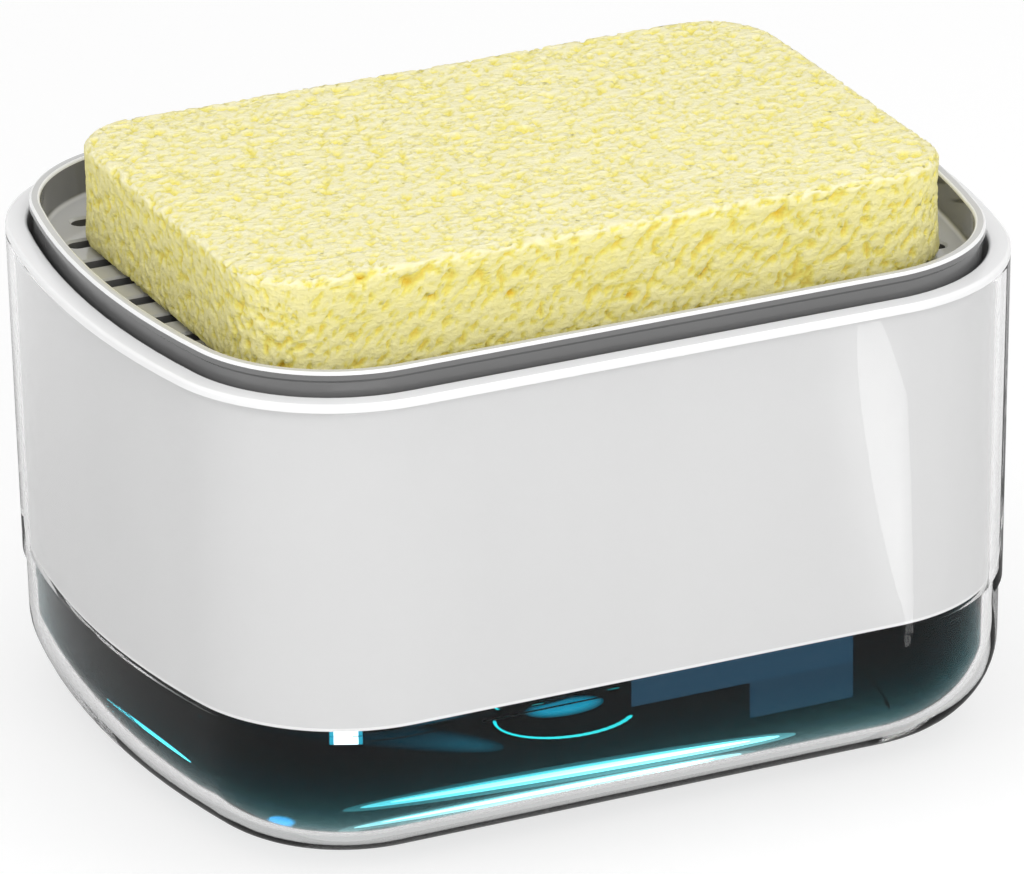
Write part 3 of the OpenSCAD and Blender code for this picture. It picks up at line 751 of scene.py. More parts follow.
@dataclass
class Plan:
    """The outline that every shell follows at its own inset: bowed ends, straight sides, large corners."""

    length: float
    depth: float
    corner_radius: float = 27 * MM
    bow_radius: float = 150 * MM
    bow_steps: int = 6
    corner_steps: int = 20

    @property
    def bow_angle(self) -> float:
        """The angle from the end's middle to where the corner begins."""
        return math.asin(self.corner_y / (self.bow_radius - self.corner_radius))

    @property
    def bow_x(self) -> float:
        """The middle of the end's bow."""
        return self.length / 2 - self.bow_radius

    @property
    def corner_x(self) -> float:
        """The corner's middle along the length."""
        return self.bow_x + (self.bow_radius - self.corner_radius) * math.cos(self.bow_angle)

    @property
    def corner_y(self) -> float:
        """The corner's middle along the depth."""
        return self.depth / 2 - self.corner_radius

    def draw(self, name: str, inset: float, height: float) -> Piece:
        """Draws the outline as one flat face.

        Args:
            name: The new piece's name.
            inset: How far inside the caddy's outline it runs.
            height: Its height.

        Returns:
            The piece, with that face alone.
        """
        deselect_all()
        bpy.ops.mesh.primitive_plane_add(size=MM)
        piece = bpy.context.object
        piece.name = name
        bpy.ops.object.mode_set(mode="EDIT")
        bpy.ops.mesh.select_mode(type="VERT")
        bpy.ops.mesh.select_all(action="SELECT")
        bpy.ops.mesh.merge(type="CENTER")
        bpy.ops.transform.translate(value=(self.length / 2 - inset, 0, height))
        bpy.ops.mesh.spin(
            steps=self.bow_steps, angle=-self.bow_angle, center=(self.bow_x, 0, height), axis=UP
        )
        bpy.ops.mesh.spin(
            steps=self.corner_steps,
            angle=self.bow_angle - math.pi / 2,
            center=(self.corner_x, self.corner_y, height),
            axis=UP,
        )
        bpy.ops.mesh.extrude_vertices_move(TRANSFORM_OT_translate={"value": (-self.corner_x, 0, 0)})
        leave_edit()
        apply_modifier(piece, "MIRROR", use_axis=(True, True, False), merge_threshold=TINY)
        edit(piece)
        bpy.ops.mesh.select_all(action="SELECT")
        bpy.ops.mesh.edge_face_add()
        bpy.ops.mesh.select_mode(type="FACE")
        return piece

    def reach_x(self, inset: float, y: float) -> float:
        """Tells where the outline stands at a given y, on the +X side.

        Args:
            inset: The outline's inset.
            y: The place along the depth.

        Returns:
            Its x.
        """
        if abs(y) < (self.bow_radius - inset) * math.sin(self.bow_angle):
            return self.bow_x + math.sqrt((self.bow_radius - inset) ** 2 - y * y)
        return self.corner_x + math.sqrt((self.corner_radius - inset) ** 2 - (abs(y) - self.corner_y) ** 2)


def sink(steps: Iterable[tuple[float, float]]) -> None:
    """Works the selected flat face down into a stepped wall.

    Args:
        steps: For each ring, how far it moves in and how far it goes down. Up is negative.
    """
    for inset, drop in steps:
        if inset > 0:
            bpy.ops.mesh.inset(thickness=inset, depth=0, use_boundary=True, use_even_offset=True)
            bpy.ops.transform.translate(value=(0, 0, -drop))
        else:
            bpy.ops.mesh.extrude_region_move(TRANSFORM_OT_translate={"value": (0, 0, -drop)})


def close_top() -> None:
    """Fills the open rim of the piece in edit mode and leaves that face selected."""
    bpy.ops.mesh.select_all(action="DESELECT")
    bpy.ops.mesh.select_mode(type="EDGE")
    bpy.ops.mesh.select_non_manifold()
    bpy.ops.mesh.edge_face_add()
    bpy.ops.mesh.select_mode(type="FACE")


def outward_normals() -> None:
    """Turns all faces of the piece in edit mode outwards."""
    bpy.ops.mesh.select_all(action="SELECT")
    bpy.ops.mesh.normals_make_consistent(inside=False)


@dataclass
class Tank:
    """The clear thick-walled tank and the soap in it."""

    plan: Plan
    rim_z: float
    sleeve_z: float
    wall: float = 1.8 * MM
    base_wall: float = 2.2 * MM
    floor: float = 2.4 * MM
    base_fillet: float = 12.5 * MM
    step: float = 0.5 * MM
    rim_round: float = 0.4 * MM
    stand_width: float = 3 * MM
    stand_recess: float = 0.8 * MM
    sump_radius: float = 10 * MM
    sump_wall: float = 1.8 * MM
    sump_height: float = 2.4 * MM
    soap_drop: float = 0.7 * MM
    soap_gap: float = 0.15 * MM
    fillet_steps: int = 16

    @property
    def step_z(self) -> float:
        """The height of the step where the sleeve begins."""
        return self.sleeve_z - self.step

    def wall_steps(self, top: float, low: float, more: float = 0) -> list[tuple[float, float]]:
        """Gives the rings of a drafted wall from a height down past the step.

        Args:
            top: The height that it starts from.
            low: The height that it ends at.
            more: How much thicker the wall gets at the step.

        Returns:
            The rings for sink.
        """
        upper = top - self.step_z
        lower = self.step_z - self.step - low
        return [
            (upper * DRAFT, upper),
            (self.step * (1 + DRAFT) + more, self.step),
            (lower * DRAFT, lower),
        ]

    def build_shell(self) -> Piece:
        """Models the tank as one closed clear solid."""
        piece = self.plan.draw("clear_tank", 0, self.rim_z)
        sink(self.wall_steps(self.rim_z, 0))
        bpy.ops.mesh.region_to_loop()
        round_selected(self.base_fillet * FILLET_REACH, self.fillet_steps)
        pick_cap(piece, 0)
        sink([(self.stand_width, 0), (self.stand_recess, -self.stand_recess)])
        close_top()
        thicker = self.base_wall - self.wall
        sink([(self.wall, 0), *self.wall_steps(self.rim_z, self.floor, thicker)])
        bpy.ops.mesh.region_to_loop()
        inner_fillet = self.base_fillet - self.base_wall
        round_selected(inner_fillet * FILLET_REACH, self.fillet_steps)
        pick_rim(piece, self.rim_z)
        round_selected(self.rim_round, 3)
        outward_normals()
        leave_edit()
        ring = tube(
            "sump_ring",
            self.sump_radius,
            self.sump_radius - self.sump_wall,
            self.floor - self.stand_recess,
            self.floor + self.sump_height,
            0.4 * MM,
        )
        join_solid(piece, ring, "UNION")
        finish_surface(piece)
        return piece

    def build_soap(self) -> Piece:
        """Models the soap as one closed solid inside the tank's inner wall."""
        top = self.sleeve_z - self.soap_drop
        side = self.base_wall + self.soap_gap
        piece = self.plan.draw("dark_soap", side + (self.rim_z - top) * DRAFT + self.step, top)
        low = self.floor + self.soap_gap
        sink([((top - low) * DRAFT, top - low)])
        bpy.ops.mesh.region_to_loop()
        fillet = self.base_fillet - side
        round_selected(fillet * FILLET_REACH, self.fillet_steps)
        close_top()
        outward_normals()
        leave_edit()
        finish_surface(piece)
        return piece


@dataclass
class Sleeve:
    """The white insert: flange, long skirt behind the clear wall and the deck's ledge."""

    plan: Plan
    top_z: float
    low_z: float
    flange: float = 1.2 * MM
    flange_round: float = 0.5 * MM
    foot_round: float = 0.25 * MM
    groove_in: float = 0.35 * MM
    groove_width: float = 1.1 * MM
    groove_depth: float = 0.55 * MM
    skirt_in: float = 2 * MM
    wall: float = 1.2 * MM
    pocket: float = 30.5 * MM
    ledge_width: float = 1.8 * MM
    ledge: float = 1.6 * MM

    def half_sizes(self, inset: float) -> tuple[float, float]:
        """Gives half the length and half the depth of the outline at an inset."""
        return self.plan.length / 2 - inset, self.plan.depth / 2 - inset

    def build(self) -> Piece:
        """Models the sleeve as one closed wall, open at both ends."""
        rim_z = self.top_z - self.flange
        skirt = rim_z - self.low_z
        piece = self.plan.draw("white_sleeve", 0, self.top_z)
        sink(
            [
                (0, self.flange),
                (self.groove_in, 0),
                (0, -self.groove_depth),
                (self.groove_width, 0),
                (0, self.groove_depth),
                (self.skirt_in - self.groove_in - self.groove_width, 0),
                (skirt * DRAFT, skirt),
            ]
        )
        pick_cap(piece, self.top_z)
        bore = self.skirt_in + self.wall
        self.sink_bore(bore)
        pick_cap(piece, self.low_z)
        bpy.ops.mesh.bridge_edge_loops()
        self.round_edges(piece)
        outward_normals()
        leave_edit()
        finish_surface(piece)
        return piece

    def sink_bore(self, bore: float) -> None:
        """Works the sleeve's bore down from the top face, round the deck's ledge.

        Args:
            bore: The bore's inset at the top.
        """
        rim_z = self.top_z - self.flange
        ledge_z = self.top_z - self.pocket
        above = (rim_z - ledge_z) * DRAFT
        sink([(bore, 0), (above, self.pocket), (self.ledge_width, 0), (0, self.ledge)])
        wide_z = ledge_z - self.ledge - self.ledge_width
        narrow = self.half_sizes(bore + above + self.ledge_width)
        wide = self.half_sizes(bore + (rim_z - wide_z) * DRAFT)
        sink([(0, self.ledge_width)])
        bpy.ops.transform.resize(
            value=(wide[0] / narrow[0], wide[1] / narrow[1], 1), center_override=(0, 0, wide_z)
        )
        drop = wide_z - self.low_z
        sink([(drop * DRAFT, drop)])

    def round_edges(self, piece: Piece) -> None:
        """Rounds the flange's edges and the sleeve's lower edge.

        Args:
            piece: The sleeve in edit mode.
        """
        pick_rim(piece, self.top_z)
        round_selected(self.flange_round, 4)
        pick_rim(piece, self.low_z)
        round_selected(self.foot_round, 2)


@dataclass
class Tray:
    """The grey press tray: lipped wall, slotted floor, ribs and the pump head's socket below."""

    plan: Plan
    lip_z: float
    skirt_z: float
    outer_in: float = 3.55 * MM
    lip_width: float = 1.6 * MM
    lip_height: float = 1.2 * MM
    lip_round: float = 0.45 * MM
    lip_over: float = 0.5 * MM
    wall: float = 1.1 * MM
    depth: float = 5.9 * MM
    floor: float = 1.6 * MM
    floor_fillet: float = 0.8 * MM
    slot_pitch: float = 8 * MM
    slot_width: float = 3 * MM
    slot_rows: int = 10
    slot_bridge: float = 5 * MM
    slot_half: float = 17 * MM
    slot_margin: float = 3 * MM
    slot_mouth: float = 0.35 * MM
    cutter_depth: float = 6 * MM
    boss_radius: float = 8 * MM
    boss_height: float = 1.4 * MM
    rib: float = 1.4 * MM
    rib_edge: float = 0.15 * MM
    rib_rise: float = 0.1 * MM
    spigot_radius: float = 4.55 * MM
    head_radius: float = 13.2 * MM
    nozzle_radius: float = 6.02 * MM
    nozzle_height: float = 1.4 * MM

    @property
    def floor_z(self) -> float:
        """The height of the floor's top face."""
        return self.lip_z - self.depth

    def build(self) -> Piece:
        """Models the tray as one closed solid."""
        piece = self.plan.draw("grey_tray", self.outer_in, self.lip_z)
        under = self.floor_z - self.floor
        skirt = self.lip_z - self.lip_height - self.lip_over - self.skirt_z
        sink([(0, self.lip_height), (self.lip_over, self.lip_over), (0, skirt)])
        sink([(self.wall, 0), (0, self.skirt_z - under)])
        pick_cap(piece, self.lip_z)
        sink([(self.lip_width, 0), (0, self.depth)])
        bpy.ops.mesh.region_to_loop()
        round_selected(self.floor_fillet, 4)
        pick_rim(piece, self.lip_z)
        round_selected(self.lip_round, 4)
        outward_normals()
        leave_edit()
        self.add_underside(piece, under)
        join_solid(piece, self.slot_cutters(), "DIFFERENCE")
        finish_surface(piece)
        return piece

    def bar(self, name: str, size: Triple, at: Triple) -> Piece:
        """Models a rib with softened edges.

        Args:
            name: Its name.
            size: Its size along each axis.
            at: Its middle.

        Returns:
            The rib.
        """
        deselect_all()
        bpy.ops.mesh.primitive_cube_add(size=1)
        piece = bpy.context.object
        piece.name = name
        piece.data.transform(Matrix.Translation(at) @ Matrix.Diagonal((*size, 1)))
        edit(piece)
        bpy.ops.mesh.select_all(action="SELECT")
        round_selected(self.rib_edge, 1)
        leave_edit()
        return piece

    def add_underside(self, piece: Piece, under: float) -> None:
        """Adds the ribs and the boss below the floor, and cuts the pump head's seat and the nozzle's.

        Args:
            piece: The tray.
            under: The height of the floor's underside.
        """
        low, high = self.skirt_z + self.rib_rise, self.floor_z - self.floor / 2
        middle, rise = (low + self.floor_z - self.floor / 2) / 2, high - low
        half_x = self.plan.length / 2 - self.outer_in - self.lip_over - self.wall / 2
        half_y = self.plan.depth / 2 - self.outer_in - self.lip_over - self.wall / 2
        cross_x = self.slot_half + self.slot_bridge / 2
        ribs = [self.bar("rib_long", (2 * half_x, self.rib, rise), (0, 0, middle))]
        for x in (-cross_x, cross_x):
            ribs.append(self.bar("rib_cross", (self.rib, 2 * half_y, rise), (x, 0, middle)))
        for rib in ribs:
            join_solid(piece, rib, "UNION")
        head_top, below = under - self.boss_height, self.skirt_z - MM
        for name, radius, start, end, operation in (
            ("head_seat", self.head_radius, below, head_top, "DIFFERENCE"),
            ("boss", self.boss_radius, head_top, high, "UNION"),
            ("spigot_hole", self.spigot_radius, below, self.lip_z, "DIFFERENCE"),
            ("nozzle_seat", self.nozzle_radius, self.floor_z - self.nozzle_height, self.lip_z, "DIFFERENCE"),
        ):
            join_solid(piece, disc(name, radius, start, end), operation)

    def slot_cutters(self) -> Piece:
        """Makes one solid of all the drain slots, each with a softened mouth.

        Returns:
            The cutter.
        """
        cutters = []
        inner = self.slot_half + self.slot_bridge
        inset = self.outer_in + self.lip_over + self.wall + self.slot_margin
        for row in range(self.slot_rows):
            y = (row - (self.slot_rows - 1) / 2) * self.slot_pitch
            far = self.plan.reach_x(inset, abs(y) + self.slot_width / 2)
            cutters.append(self.slot(inner, far, y))
            cutters.append(self.slot(-far, -inner, y))
            if abs(y) > self.boss_radius + self.slot_width:
                cutters.append(self.slot(-self.slot_half, self.slot_half, y))
        deselect_all()
        for cutter in cutters:
            cutter.select_set(True)
        bpy.context.view_layer.objects.active = cutters[0]
        bpy.ops.object.join()
        return cutters[0]

    def slot(self, x0: float, x1: float, y: float) -> Piece:
        """Models the cutter of one drain slot: round ends, and a wider mouth at the floor's top.

        Args:
            x0: Its left end.
            x1: Its right end.
            y: Its place along the depth.

        Returns:
            The cutter.
        """
        radius, mouth = self.slot_width / 2, self.slot_mouth
        middle = x0 + radius
        deselect_all()
        bpy.ops.mesh.primitive_cylinder_add(vertices=20, radius=radius, depth=self.cutter_depth)
        piece = bpy.context.object
        piece.name = "slot_cutter"
        piece.data.transform(Matrix.Translation((middle, y, self.floor_z - self.cutter_depth / 2)))
        edit(piece)
        bpy.ops.mesh.select_mode(type="VERT")
        mesh = bmesh.from_edit_mesh(piece.data)
        for vertex in mesh.verts:
            vertex.select_set(vertex.co.x > middle + TINY)
        mesh.select_flush(True)
        bmesh.update_edit_mesh(piece.data)
        bpy.ops.transform.translate(value=(x1 - x0 - 2 * radius, 0, 0))
        pick_faces(piece, lambda f: len(f.verts) > MANY_SIDES and f.normal.z > 0.9)
        bpy.ops.transform.translate(value=(0, 0, -mouth))
        bpy.ops.mesh.extrude_region_move(TRANSFORM_OT_translate={"value": (0, 0, mouth)})
        across = (x1 - x0 + 2 * mouth) / (x1 - x0)
        bpy.ops.transform.resize(
            value=(across, 1 + mouth / radius, 1), center_override=((x0 + x1) / 2, y, self.floor_z)
        )
        bpy.ops.mesh.extrude_region_move(TRANSFORM_OT_translate={"value": (0, 0, mouth)})
        outward_normals()
        leave_edit()
        return piece


@dataclass
class Sponge:
    """The cellulose sponge: soft edges, drawn sides and open pores all over.

    The pores are noise. Each kind has a size, which is its wave, and a depth, both in metres. A span is
    the range of noise values from a pit's rim to its floor. The bend, in millimetres, is how far the
    pattern is pushed out of line. The pore shading says how much painted shade a hole, a pore and a fibre
    give the colour.
    """

    low: Vector
    high: Vector
    corner_radius: float = 11 * MM
    edge: float = 1.6 * MM
    top_drop: float = 0.6 * MM
    draw: float = 0.4 * MM
    voxel: float = 0.5 * MM
    bend_size: float = 5 * MM
    bend: float = 1.1
    hole_size: float = 2.2 * MM
    hole_depth: float = 1.1 * MM
    hole_span: tuple[float, float] = (0.58, 0.88)
    pore_size: float = 1.0 * MM
    pore_deep: float = 0.6 * MM
    pore_span: tuple[float, float] = (0.08, 0.85)
    fibre_size: float = 0.7 * MM
    fibre_depth: float = 0.12 * MM
    fibre_shift: float = 0.9
    lump_size: float = 7 * MM
    lump_depth: float = 0.15 * MM
    falloff: float = 0.6
    lacunarity: float = 2.1
    stretch: float = 2.0
    pore_shading: Triple = (0.55, 0.5, 0.08)
    noise_seed: int = 1
    grain: Vector = field(default_factory=lambda: Vector((0.68, 0.05, 0.73)).normalized())
    seed: Vector = field(default_factory=lambda: Vector((0.31, 0.77, 0.19)))

    def build(self) -> Piece:
        """Models the sponge as one closed block with real pores."""
        piece = self.build_block()
        apply_modifier(piece, "REMESH", mode="VOXEL", voxel_size=self.voxel, use_smooth_shade=True)
        self.open_pores(piece)
        return piece

    def build_block(self) -> Piece:
        """Models the cut block: rounded corners, soft edges and a flat top a little below the solid's.

        Returns:
            The block.
        """
        middle, size = (self.low + self.high) / 2, self.high - self.low
        deselect_all()
        bpy.ops.mesh.primitive_cube_add(size=1)
        piece = bpy.context.object
        piece.name = "yellow_sponge"
        piece.data.transform(Matrix.Translation(middle) @ Matrix.Diagonal((*size, 1)))
        edit(piece)
        pick_edges(piece, lambda a, b: (a - b).xy.length < TINY)
        round_selected(self.corner_radius, 14)
        pick_faces(piece, lambda f: abs(f.normal.z) > 0.9)
        bpy.ops.mesh.region_to_loop()
        round_selected(self.edge, 4)
        leave_edit()
        half = size / 2
        for vertex in piece.data.vertices:
            away = vertex.co - middle
            if away.z > 0:
                share = min(1.0, max(abs(away.x) / half.x, abs(away.y) / half.y))
                vertex.co.z -= self.top_drop * share * share
        return piece

    def open_pores(self, piece: Piece) -> None:
        """Presses pores of two sizes and fine fibres into the block, and keeps how much painted shade each
        point gets in them.

        Args:
            piece: The fine mesh of the block.
        """
        noise.seed_set(self.noise_seed)
        mesh = piece.data
        normals = [vertex.normal.copy() for vertex in mesh.vertices]
        depths = mesh.attributes.new("pore_depth", "FLOAT", "POINT")
        middle, half = (self.low + self.high) / 2, (self.high - self.low) / 2
        for vertex, normal, entry in zip(mesh.vertices, normals, depths.data, strict=True):
            point = vertex.co
            side = 1 - ((point.z - middle.z) / half.z) ** 2
            depth, colour = self.pore_depth(point, normal)
            drawn = self.draw * max(0.0, side) * (1 - abs(normal.z))
            vertex.co = point - normal * (depth + drawn)
            # The point's painted pore shade, which the material turns into a deeper colour.
            entry.value = colour
        mesh.update()

    def pore_depth(self, point: Vector, normal: Vector) -> tuple[float, float]:
        """Works out the depth of the surface at a point.

        Args:
            point: The point on the smooth block.
            normal: The surface's normal there.

        Returns:
            How far it lies inside, in metres, and how much painted shade it gets in the pores, from 0 to 1.
        """
        bent = point + noise.noise_vector(point / self.bend_size) * self.bend * MM
        place = bent - self.grain * (bent.dot(self.grain) * (1 - 1 / self.stretch)) + self.seed
        pores = self.pit(self.tangle(place / self.pore_size, 3), *self.pore_span)
        holes = self.pit(noise.noise(place / self.hole_size), *self.hole_span)
        fibre = self.tangle(place / self.fibre_size, 2)
        lumps = noise.noise(point / self.lump_size)
        pits = self.hole_depth * holes + self.pore_deep * pores
        depth = pits + self.fibre_depth * (fibre + self.fibre_shift) + self.lump_depth * (lumps + 1)
        # Painted shade: holes, pores and fibres deepen the colour by these weights.
        in_hole, in_pore, on_fibre = self.pore_shading
        return max(0.0, depth), min(1.0, in_hole * holes + in_pore * pores + on_fibre * max(0.0, fibre))

    def tangle(self, place: Vector, octaves: int) -> float:
        """Gives a noise of several octaves at a place."""
        return noise.fractal(place, self.falloff, self.lacunarity, octaves)

    def pit(self, value: float, start: float, full: float) -> float:
        """Turns a noise value into a pit: 0 below start, and 1 from full on."""
        share = min(1.0, max(0.0, (value - start) / (full - start)))
        return share * (2 - share)


DRESSED_NODES = {
    "rim_gasket": Slot.CLEAR_SILICONE,
    "pump_deck": Slot.WHITE_MATTE,
    "pump_gasket": Slot.SEAL_RUBBER,
    "pump_chamber": Slot.NATURAL_PLASTIC,
    "stem_guide": Slot.NATURAL_PLASTIC,
    "lock_ring": Slot.WHITE_MATTE,
    "dip_tube": Slot.NATURAL_PLASTIC,
    "suction_foot": Slot.NATURAL_PLASTIC,
    "inlet_ball": Slot.STEEL,
    "return_spring": Slot.STEEL,
    "stem": Slot.WHITE_MATTE,
    "piston": Slot.SEAL_RUBBER,
    "piston_seat": Slot.NATURAL_PLASTIC,
    "pump_head": Slot.WHITE_MATTE,
    "outlet_ball": Slot.STEEL,
    "nozzle": Slot.GREY_SATIN,
}


@dataclass
class Caddy:
    """The whole caddy: builds the shells, the soap and the sponge, and dresses the pump."""

    finishes: Finishes

    def build(self) -> None:
        """Builds and dresses every piece."""
        low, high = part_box("tank")
        plan = Plan(length=high.x - low.x, depth=high.y - low.y)
        tank = Tank(plan, high.z, SLEEVE_LOW)
        self.finishes.stand_for(tank.build_shell(), "tank", Body.TANK, Slot.CLEAR_PLASTIC)
        self.finishes.stand_for(tank.build_soap(), "soap_fill", Body.TANK, Slot.SOAP)
        sleeve = Sleeve(plan, SLEEVE_HIGH, SLEEVE_LOW)
        self.finishes.stand_for(sleeve.build(), "sleeve", Body.INSERT, Slot.WHITE_GLOSS)
        tray = Tray(plan, LIP_HIGH, TRAY_LOW)
        self.finishes.stand_for(tray.build(), "tray", Body.TRAY, Slot.GREY_GLOSS)
        sponge = Sponge(*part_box("sponge")).build()
        self.finishes.stand_for(sponge, "sponge", Body.SPONGE, Slot.CELLULOSE)
        for name, slot in DRESSED_NODES.items():
            self.finishes.dress(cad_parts[name], slot)
            log.info("%s dressed in %s", name, slot.value)


def hang_lamp(name: str, shape: str, size: tuple[float, float], power: float) -> Piece:
    """Adds a flat lamp that the camera does not see.

    Args:
        name: Its name.
        shape: RECTANGLE or ELLIPSE.
        size: Its length and width.
        power: Its power.

    Returns:
        The lamp, not yet placed.
    """
    lamp = bpy.data.lights.new(name, "AREA")
    lamp.shape = shape
    lamp.size, lamp.size_y = size
    lamp.energy = power
    stand = bpy.data.objects.new(name, lamp)
    stand.rotation_mode = "QUATERNION"
    stand.visible_camera = False
    bpy.context.scene.collection.objects.link(stand)
    return stand


@dataclass(frozen=True)
class Softbox:
    """One studio lamp with a diffuser."""

    name: str
    azimuth: float
    elevation: float
    distance: float
    width: float
    height: float
    power: float

    def light(self, target: Vector) -> None:
        """Sets the lamp up, facing a point.

        Args:
            target: The point that it faces.
        """
        away = direction(self.azimuth, self.elevation)
        stand = hang_lamp(self.name, "RECTANGLE", (self.width, self.height), self.power)
        stand.location = target + away * self.distance
        stand.rotation_quaternion = away.to_track_quat("Z", "Y")


@dataclass(frozen=True)
class Strip:
    """A narrow lamp that lights nothing: it shows as a reflection, or through the clear wall or the soap."""

    name: str
    place: Triple
    along: Triple
    facing: Triple
    length: float
    width: float
    brightness: float
    mirrored: bool = True
    colour: Colour = WHITE
    oval: bool = True

    def light(self) -> None:
        """Sets the strip up."""
        area = self.width * self.length * (math.pi / 4 if self.oval else 1)
        shape = "ELLIPSE" if self.oval else "RECTANGLE"
        stand = hang_lamp(self.name, shape, (self.length, self.width), self.brightness * math.pi * area)
        stand.data.color = self.colour
        away = -Vector(self.facing).normalized()
        side = away.cross(Vector(self.along)).normalized()
        turn = Matrix((side.cross(away), side, away)).transposed()
        stand.location = self.place
        stand.rotation_quaternion = turn.to_quaternion()
        stand.visible_diffuse = False
        stand.visible_glossy = self.mirrored
        stand.visible_transmission = not self.mirrored


# Each layer of a glow: its length, its width and its brightness, as parts of the glow's own.
CORED = ((1.08, 1.7, 0.06), (1.0, 1.0, 0.3), (0.86, 0.45, 1.0))
EVEN = ((1.0, 1.0, 1.0),)
SOFT = ((1.12, 1.3, 0.25), (1.04, 1.1, 0.25), (0.95, 0.9, 0.25), (0.84, 0.7, 0.25))


@dataclass(frozen=True)
class Glow:
    """An oval streak between the tank's floor and the soap."""

    name: str
    x: float
    y: float
    angle: float
    length: float
    width: float
    brightness: float
    colour: Colour = WHITE
    layers: tuple[Triple, ...] = CORED
    above_floor: float = 0.04 * MM
    layer_gap: float = 0.03 * MM

    def light(self) -> None:
        """Sets the streak up as ovals above one another, each narrower and brighter."""
        turn = math.radians(self.angle)
        for step, (length, width, share) in enumerate(self.layers):
            Strip(
                f"{self.name}_{step}",
                (self.x, self.y, Tank.floor + self.above_floor + step * self.layer_gap),
                (math.cos(turn), math.sin(turn), 0),
                UP,
                self.length * length,
                self.width * width,
                self.brightness * share,
                mirrored=False,
                colour=self.colour,
            ).light()


@dataclass(frozen=True)
class WallGlow:
    """A flat patch of light in the gap between the soap and the tank's wall."""

    name: str
    x: float
    y: float
    low: float
    high: float
    width: float
    azimuth: float
    brightness: float
    colour: Colour

    def light(self) -> None:
        """Sets the patch up, facing away from the caddy."""
        out = direction(self.azimuth, 0)
        Strip(
            self.name,
            (self.x, self.y, (self.low + self.high) / 2),
            out.cross(Vector(UP)),
            out,
            self.width,
            self.high - self.low,
            self.brightness,
            mirrored=False,
            colour=self.colour,
            oval=False,
        ).light()


@dataclass(frozen=True)
class GlowArc:
    """A thin bright arc on the tank's floor, made of short streaks end to end."""

    x: float = 1.0 * MM
    y: float = -14.4 * MM
    half_length: float = 10.6 * MM
    half_width: float = 8.0 * MM
    start: float = 163.0
    end: float = 321.0
    count: int = 20
    overlap: float = 1.6
    thin: float = 0.45 * MM
    thick: float = 0.95 * MM
    brightness: float = 95.0
    soap_loss: float = 181.0

    def light(self) -> None:
        """Sets the arc up. The deeper a streak lies in the soap, the brighter it is."""
        step = math.radians(self.end - self.start) / self.count
        for index in range(self.count):
            angle = math.radians(self.start) + (index + 0.5) * step
            x, y = self.half_length * math.cos(angle), self.half_width * math.sin(angle)
            way = math.atan2(self.half_width * math.cos(angle), -self.half_length * math.sin(angle))
            length = math.hypot(self.half_width * math.cos(angle), self.half_length * math.sin(angle)) * step
            Glow(
                f"ring_arc_{index}",
                self.x + x,
                self.y + y,
                math.degrees(way),
                length * self.overlap,
                self.thin + (self.thick - self.thin) * abs(math.sin(angle)),
                self.brightness * math.exp(self.soap_loss * (y + self.half_width)),
                colour=(1, 1, 0.8),
                layers=EVEN,
            ).light()


def direction(azimuth: float, elevation: float) -> Vector:
    """Gives the unit vector from the caddy to a place round it.

    Args:
        azimuth: Degrees round from the front, positive to the right.
        elevation: Degrees above the table.

    Returns:
        The direction.
    """
    turn, rise = math.radians(azimuth), math.radians(elevation)
    return Vector((math.sin(turn) * math.cos(rise), -math.cos(turn) * math.cos(rise), math.sin(rise)))


SOFTBOXES = (
    Softbox("top_softbox", azimuth=0, elevation=88, distance=0.9, width=0.9, height=0.7, power=2.5),
    Softbox("front_softbox", azimuth=-10, elevation=22, distance=1.3, width=0.8, height=0.8, power=7.0),
    Softbox("left_softbox", azimuth=-95, elevation=25, distance=1.3, width=0.8, height=0.8, power=3.3),
    Softbox("right_softbox", azimuth=62, elevation=25, distance=1.3, width=0.8, height=0.8, power=1.7),
)
TEAL, FAINT_PINK = (0.15, 0.56, 1), (1, 0.85, 1)
TAB_AZIMUTH = -24.7
# Strip: name, place, along, facing, length, width, brightness.
# Glow: name, x, y, angle, length, width, brightness.
# WallGlow: name, x, y, low, high, width, azimuth, brightness, colour.
STRIPS = (
    Strip("right_strip", (0.0548, -0.0857, 0.027), (0.207, 0, -0.978), TO_BACK, 0.062, 0.0084, 6.5),
    Strip("edge_sheen", (0.20, -0.25, 0.55), TO_RIGHT, (-0.31, 0.39, -0.8), 0.35, 0.25, 12),
    Glow("front_streak", -0.0065, -0.0337, -4.0, 0.064, 0.0032, 40),
    Glow("base_streak", -0.0120, -0.0380, -1.5, 0.060, 0.0024, 11),
    Glow("left_streak", -0.0533, 0.0060, -87, 0.026, 0.0008, 50, layers=EVEN),
    Glow("corner_spot", -0.0500, -0.0305, -60, 0.0040, 0.0026, 4.5, colour=(0.1, 0.5, 1.0), layers=SOFT),
    WallGlow("front_patch", 0.0135, -0.04882, 0.0178, 0.0219, 0.035, 0, 0.095, TEAL),
    WallGlow("front_patch_low", 0.0228, -0.04882, 0.0123, 0.0178, 0.0164, 0, 0.075, TEAL),
    WallGlow("corner_tab_rim", -0.04709, -0.04690, 0.0200, 0.0220, 0.0046, TAB_AZIMUTH, 0.6, (0.05, 0.7, 1)),
    WallGlow("corner_tab", -0.04711, -0.04694, 0.0200, 0.0220, 0.0034, TAB_AZIMUTH, 1.5, WHITE),
    Glow("left_haze", -0.0265, -0.0075, -44, 0.036, 0.007, 22, colour=FAINT_PINK, layers=SOFT),
    Glow("ring_haze", 0.0021, -0.0118, 0, 0.0110, 0.0050, 230, colour=(1, 0.9, 1), layers=SOFT),
    GlowArc(),
)


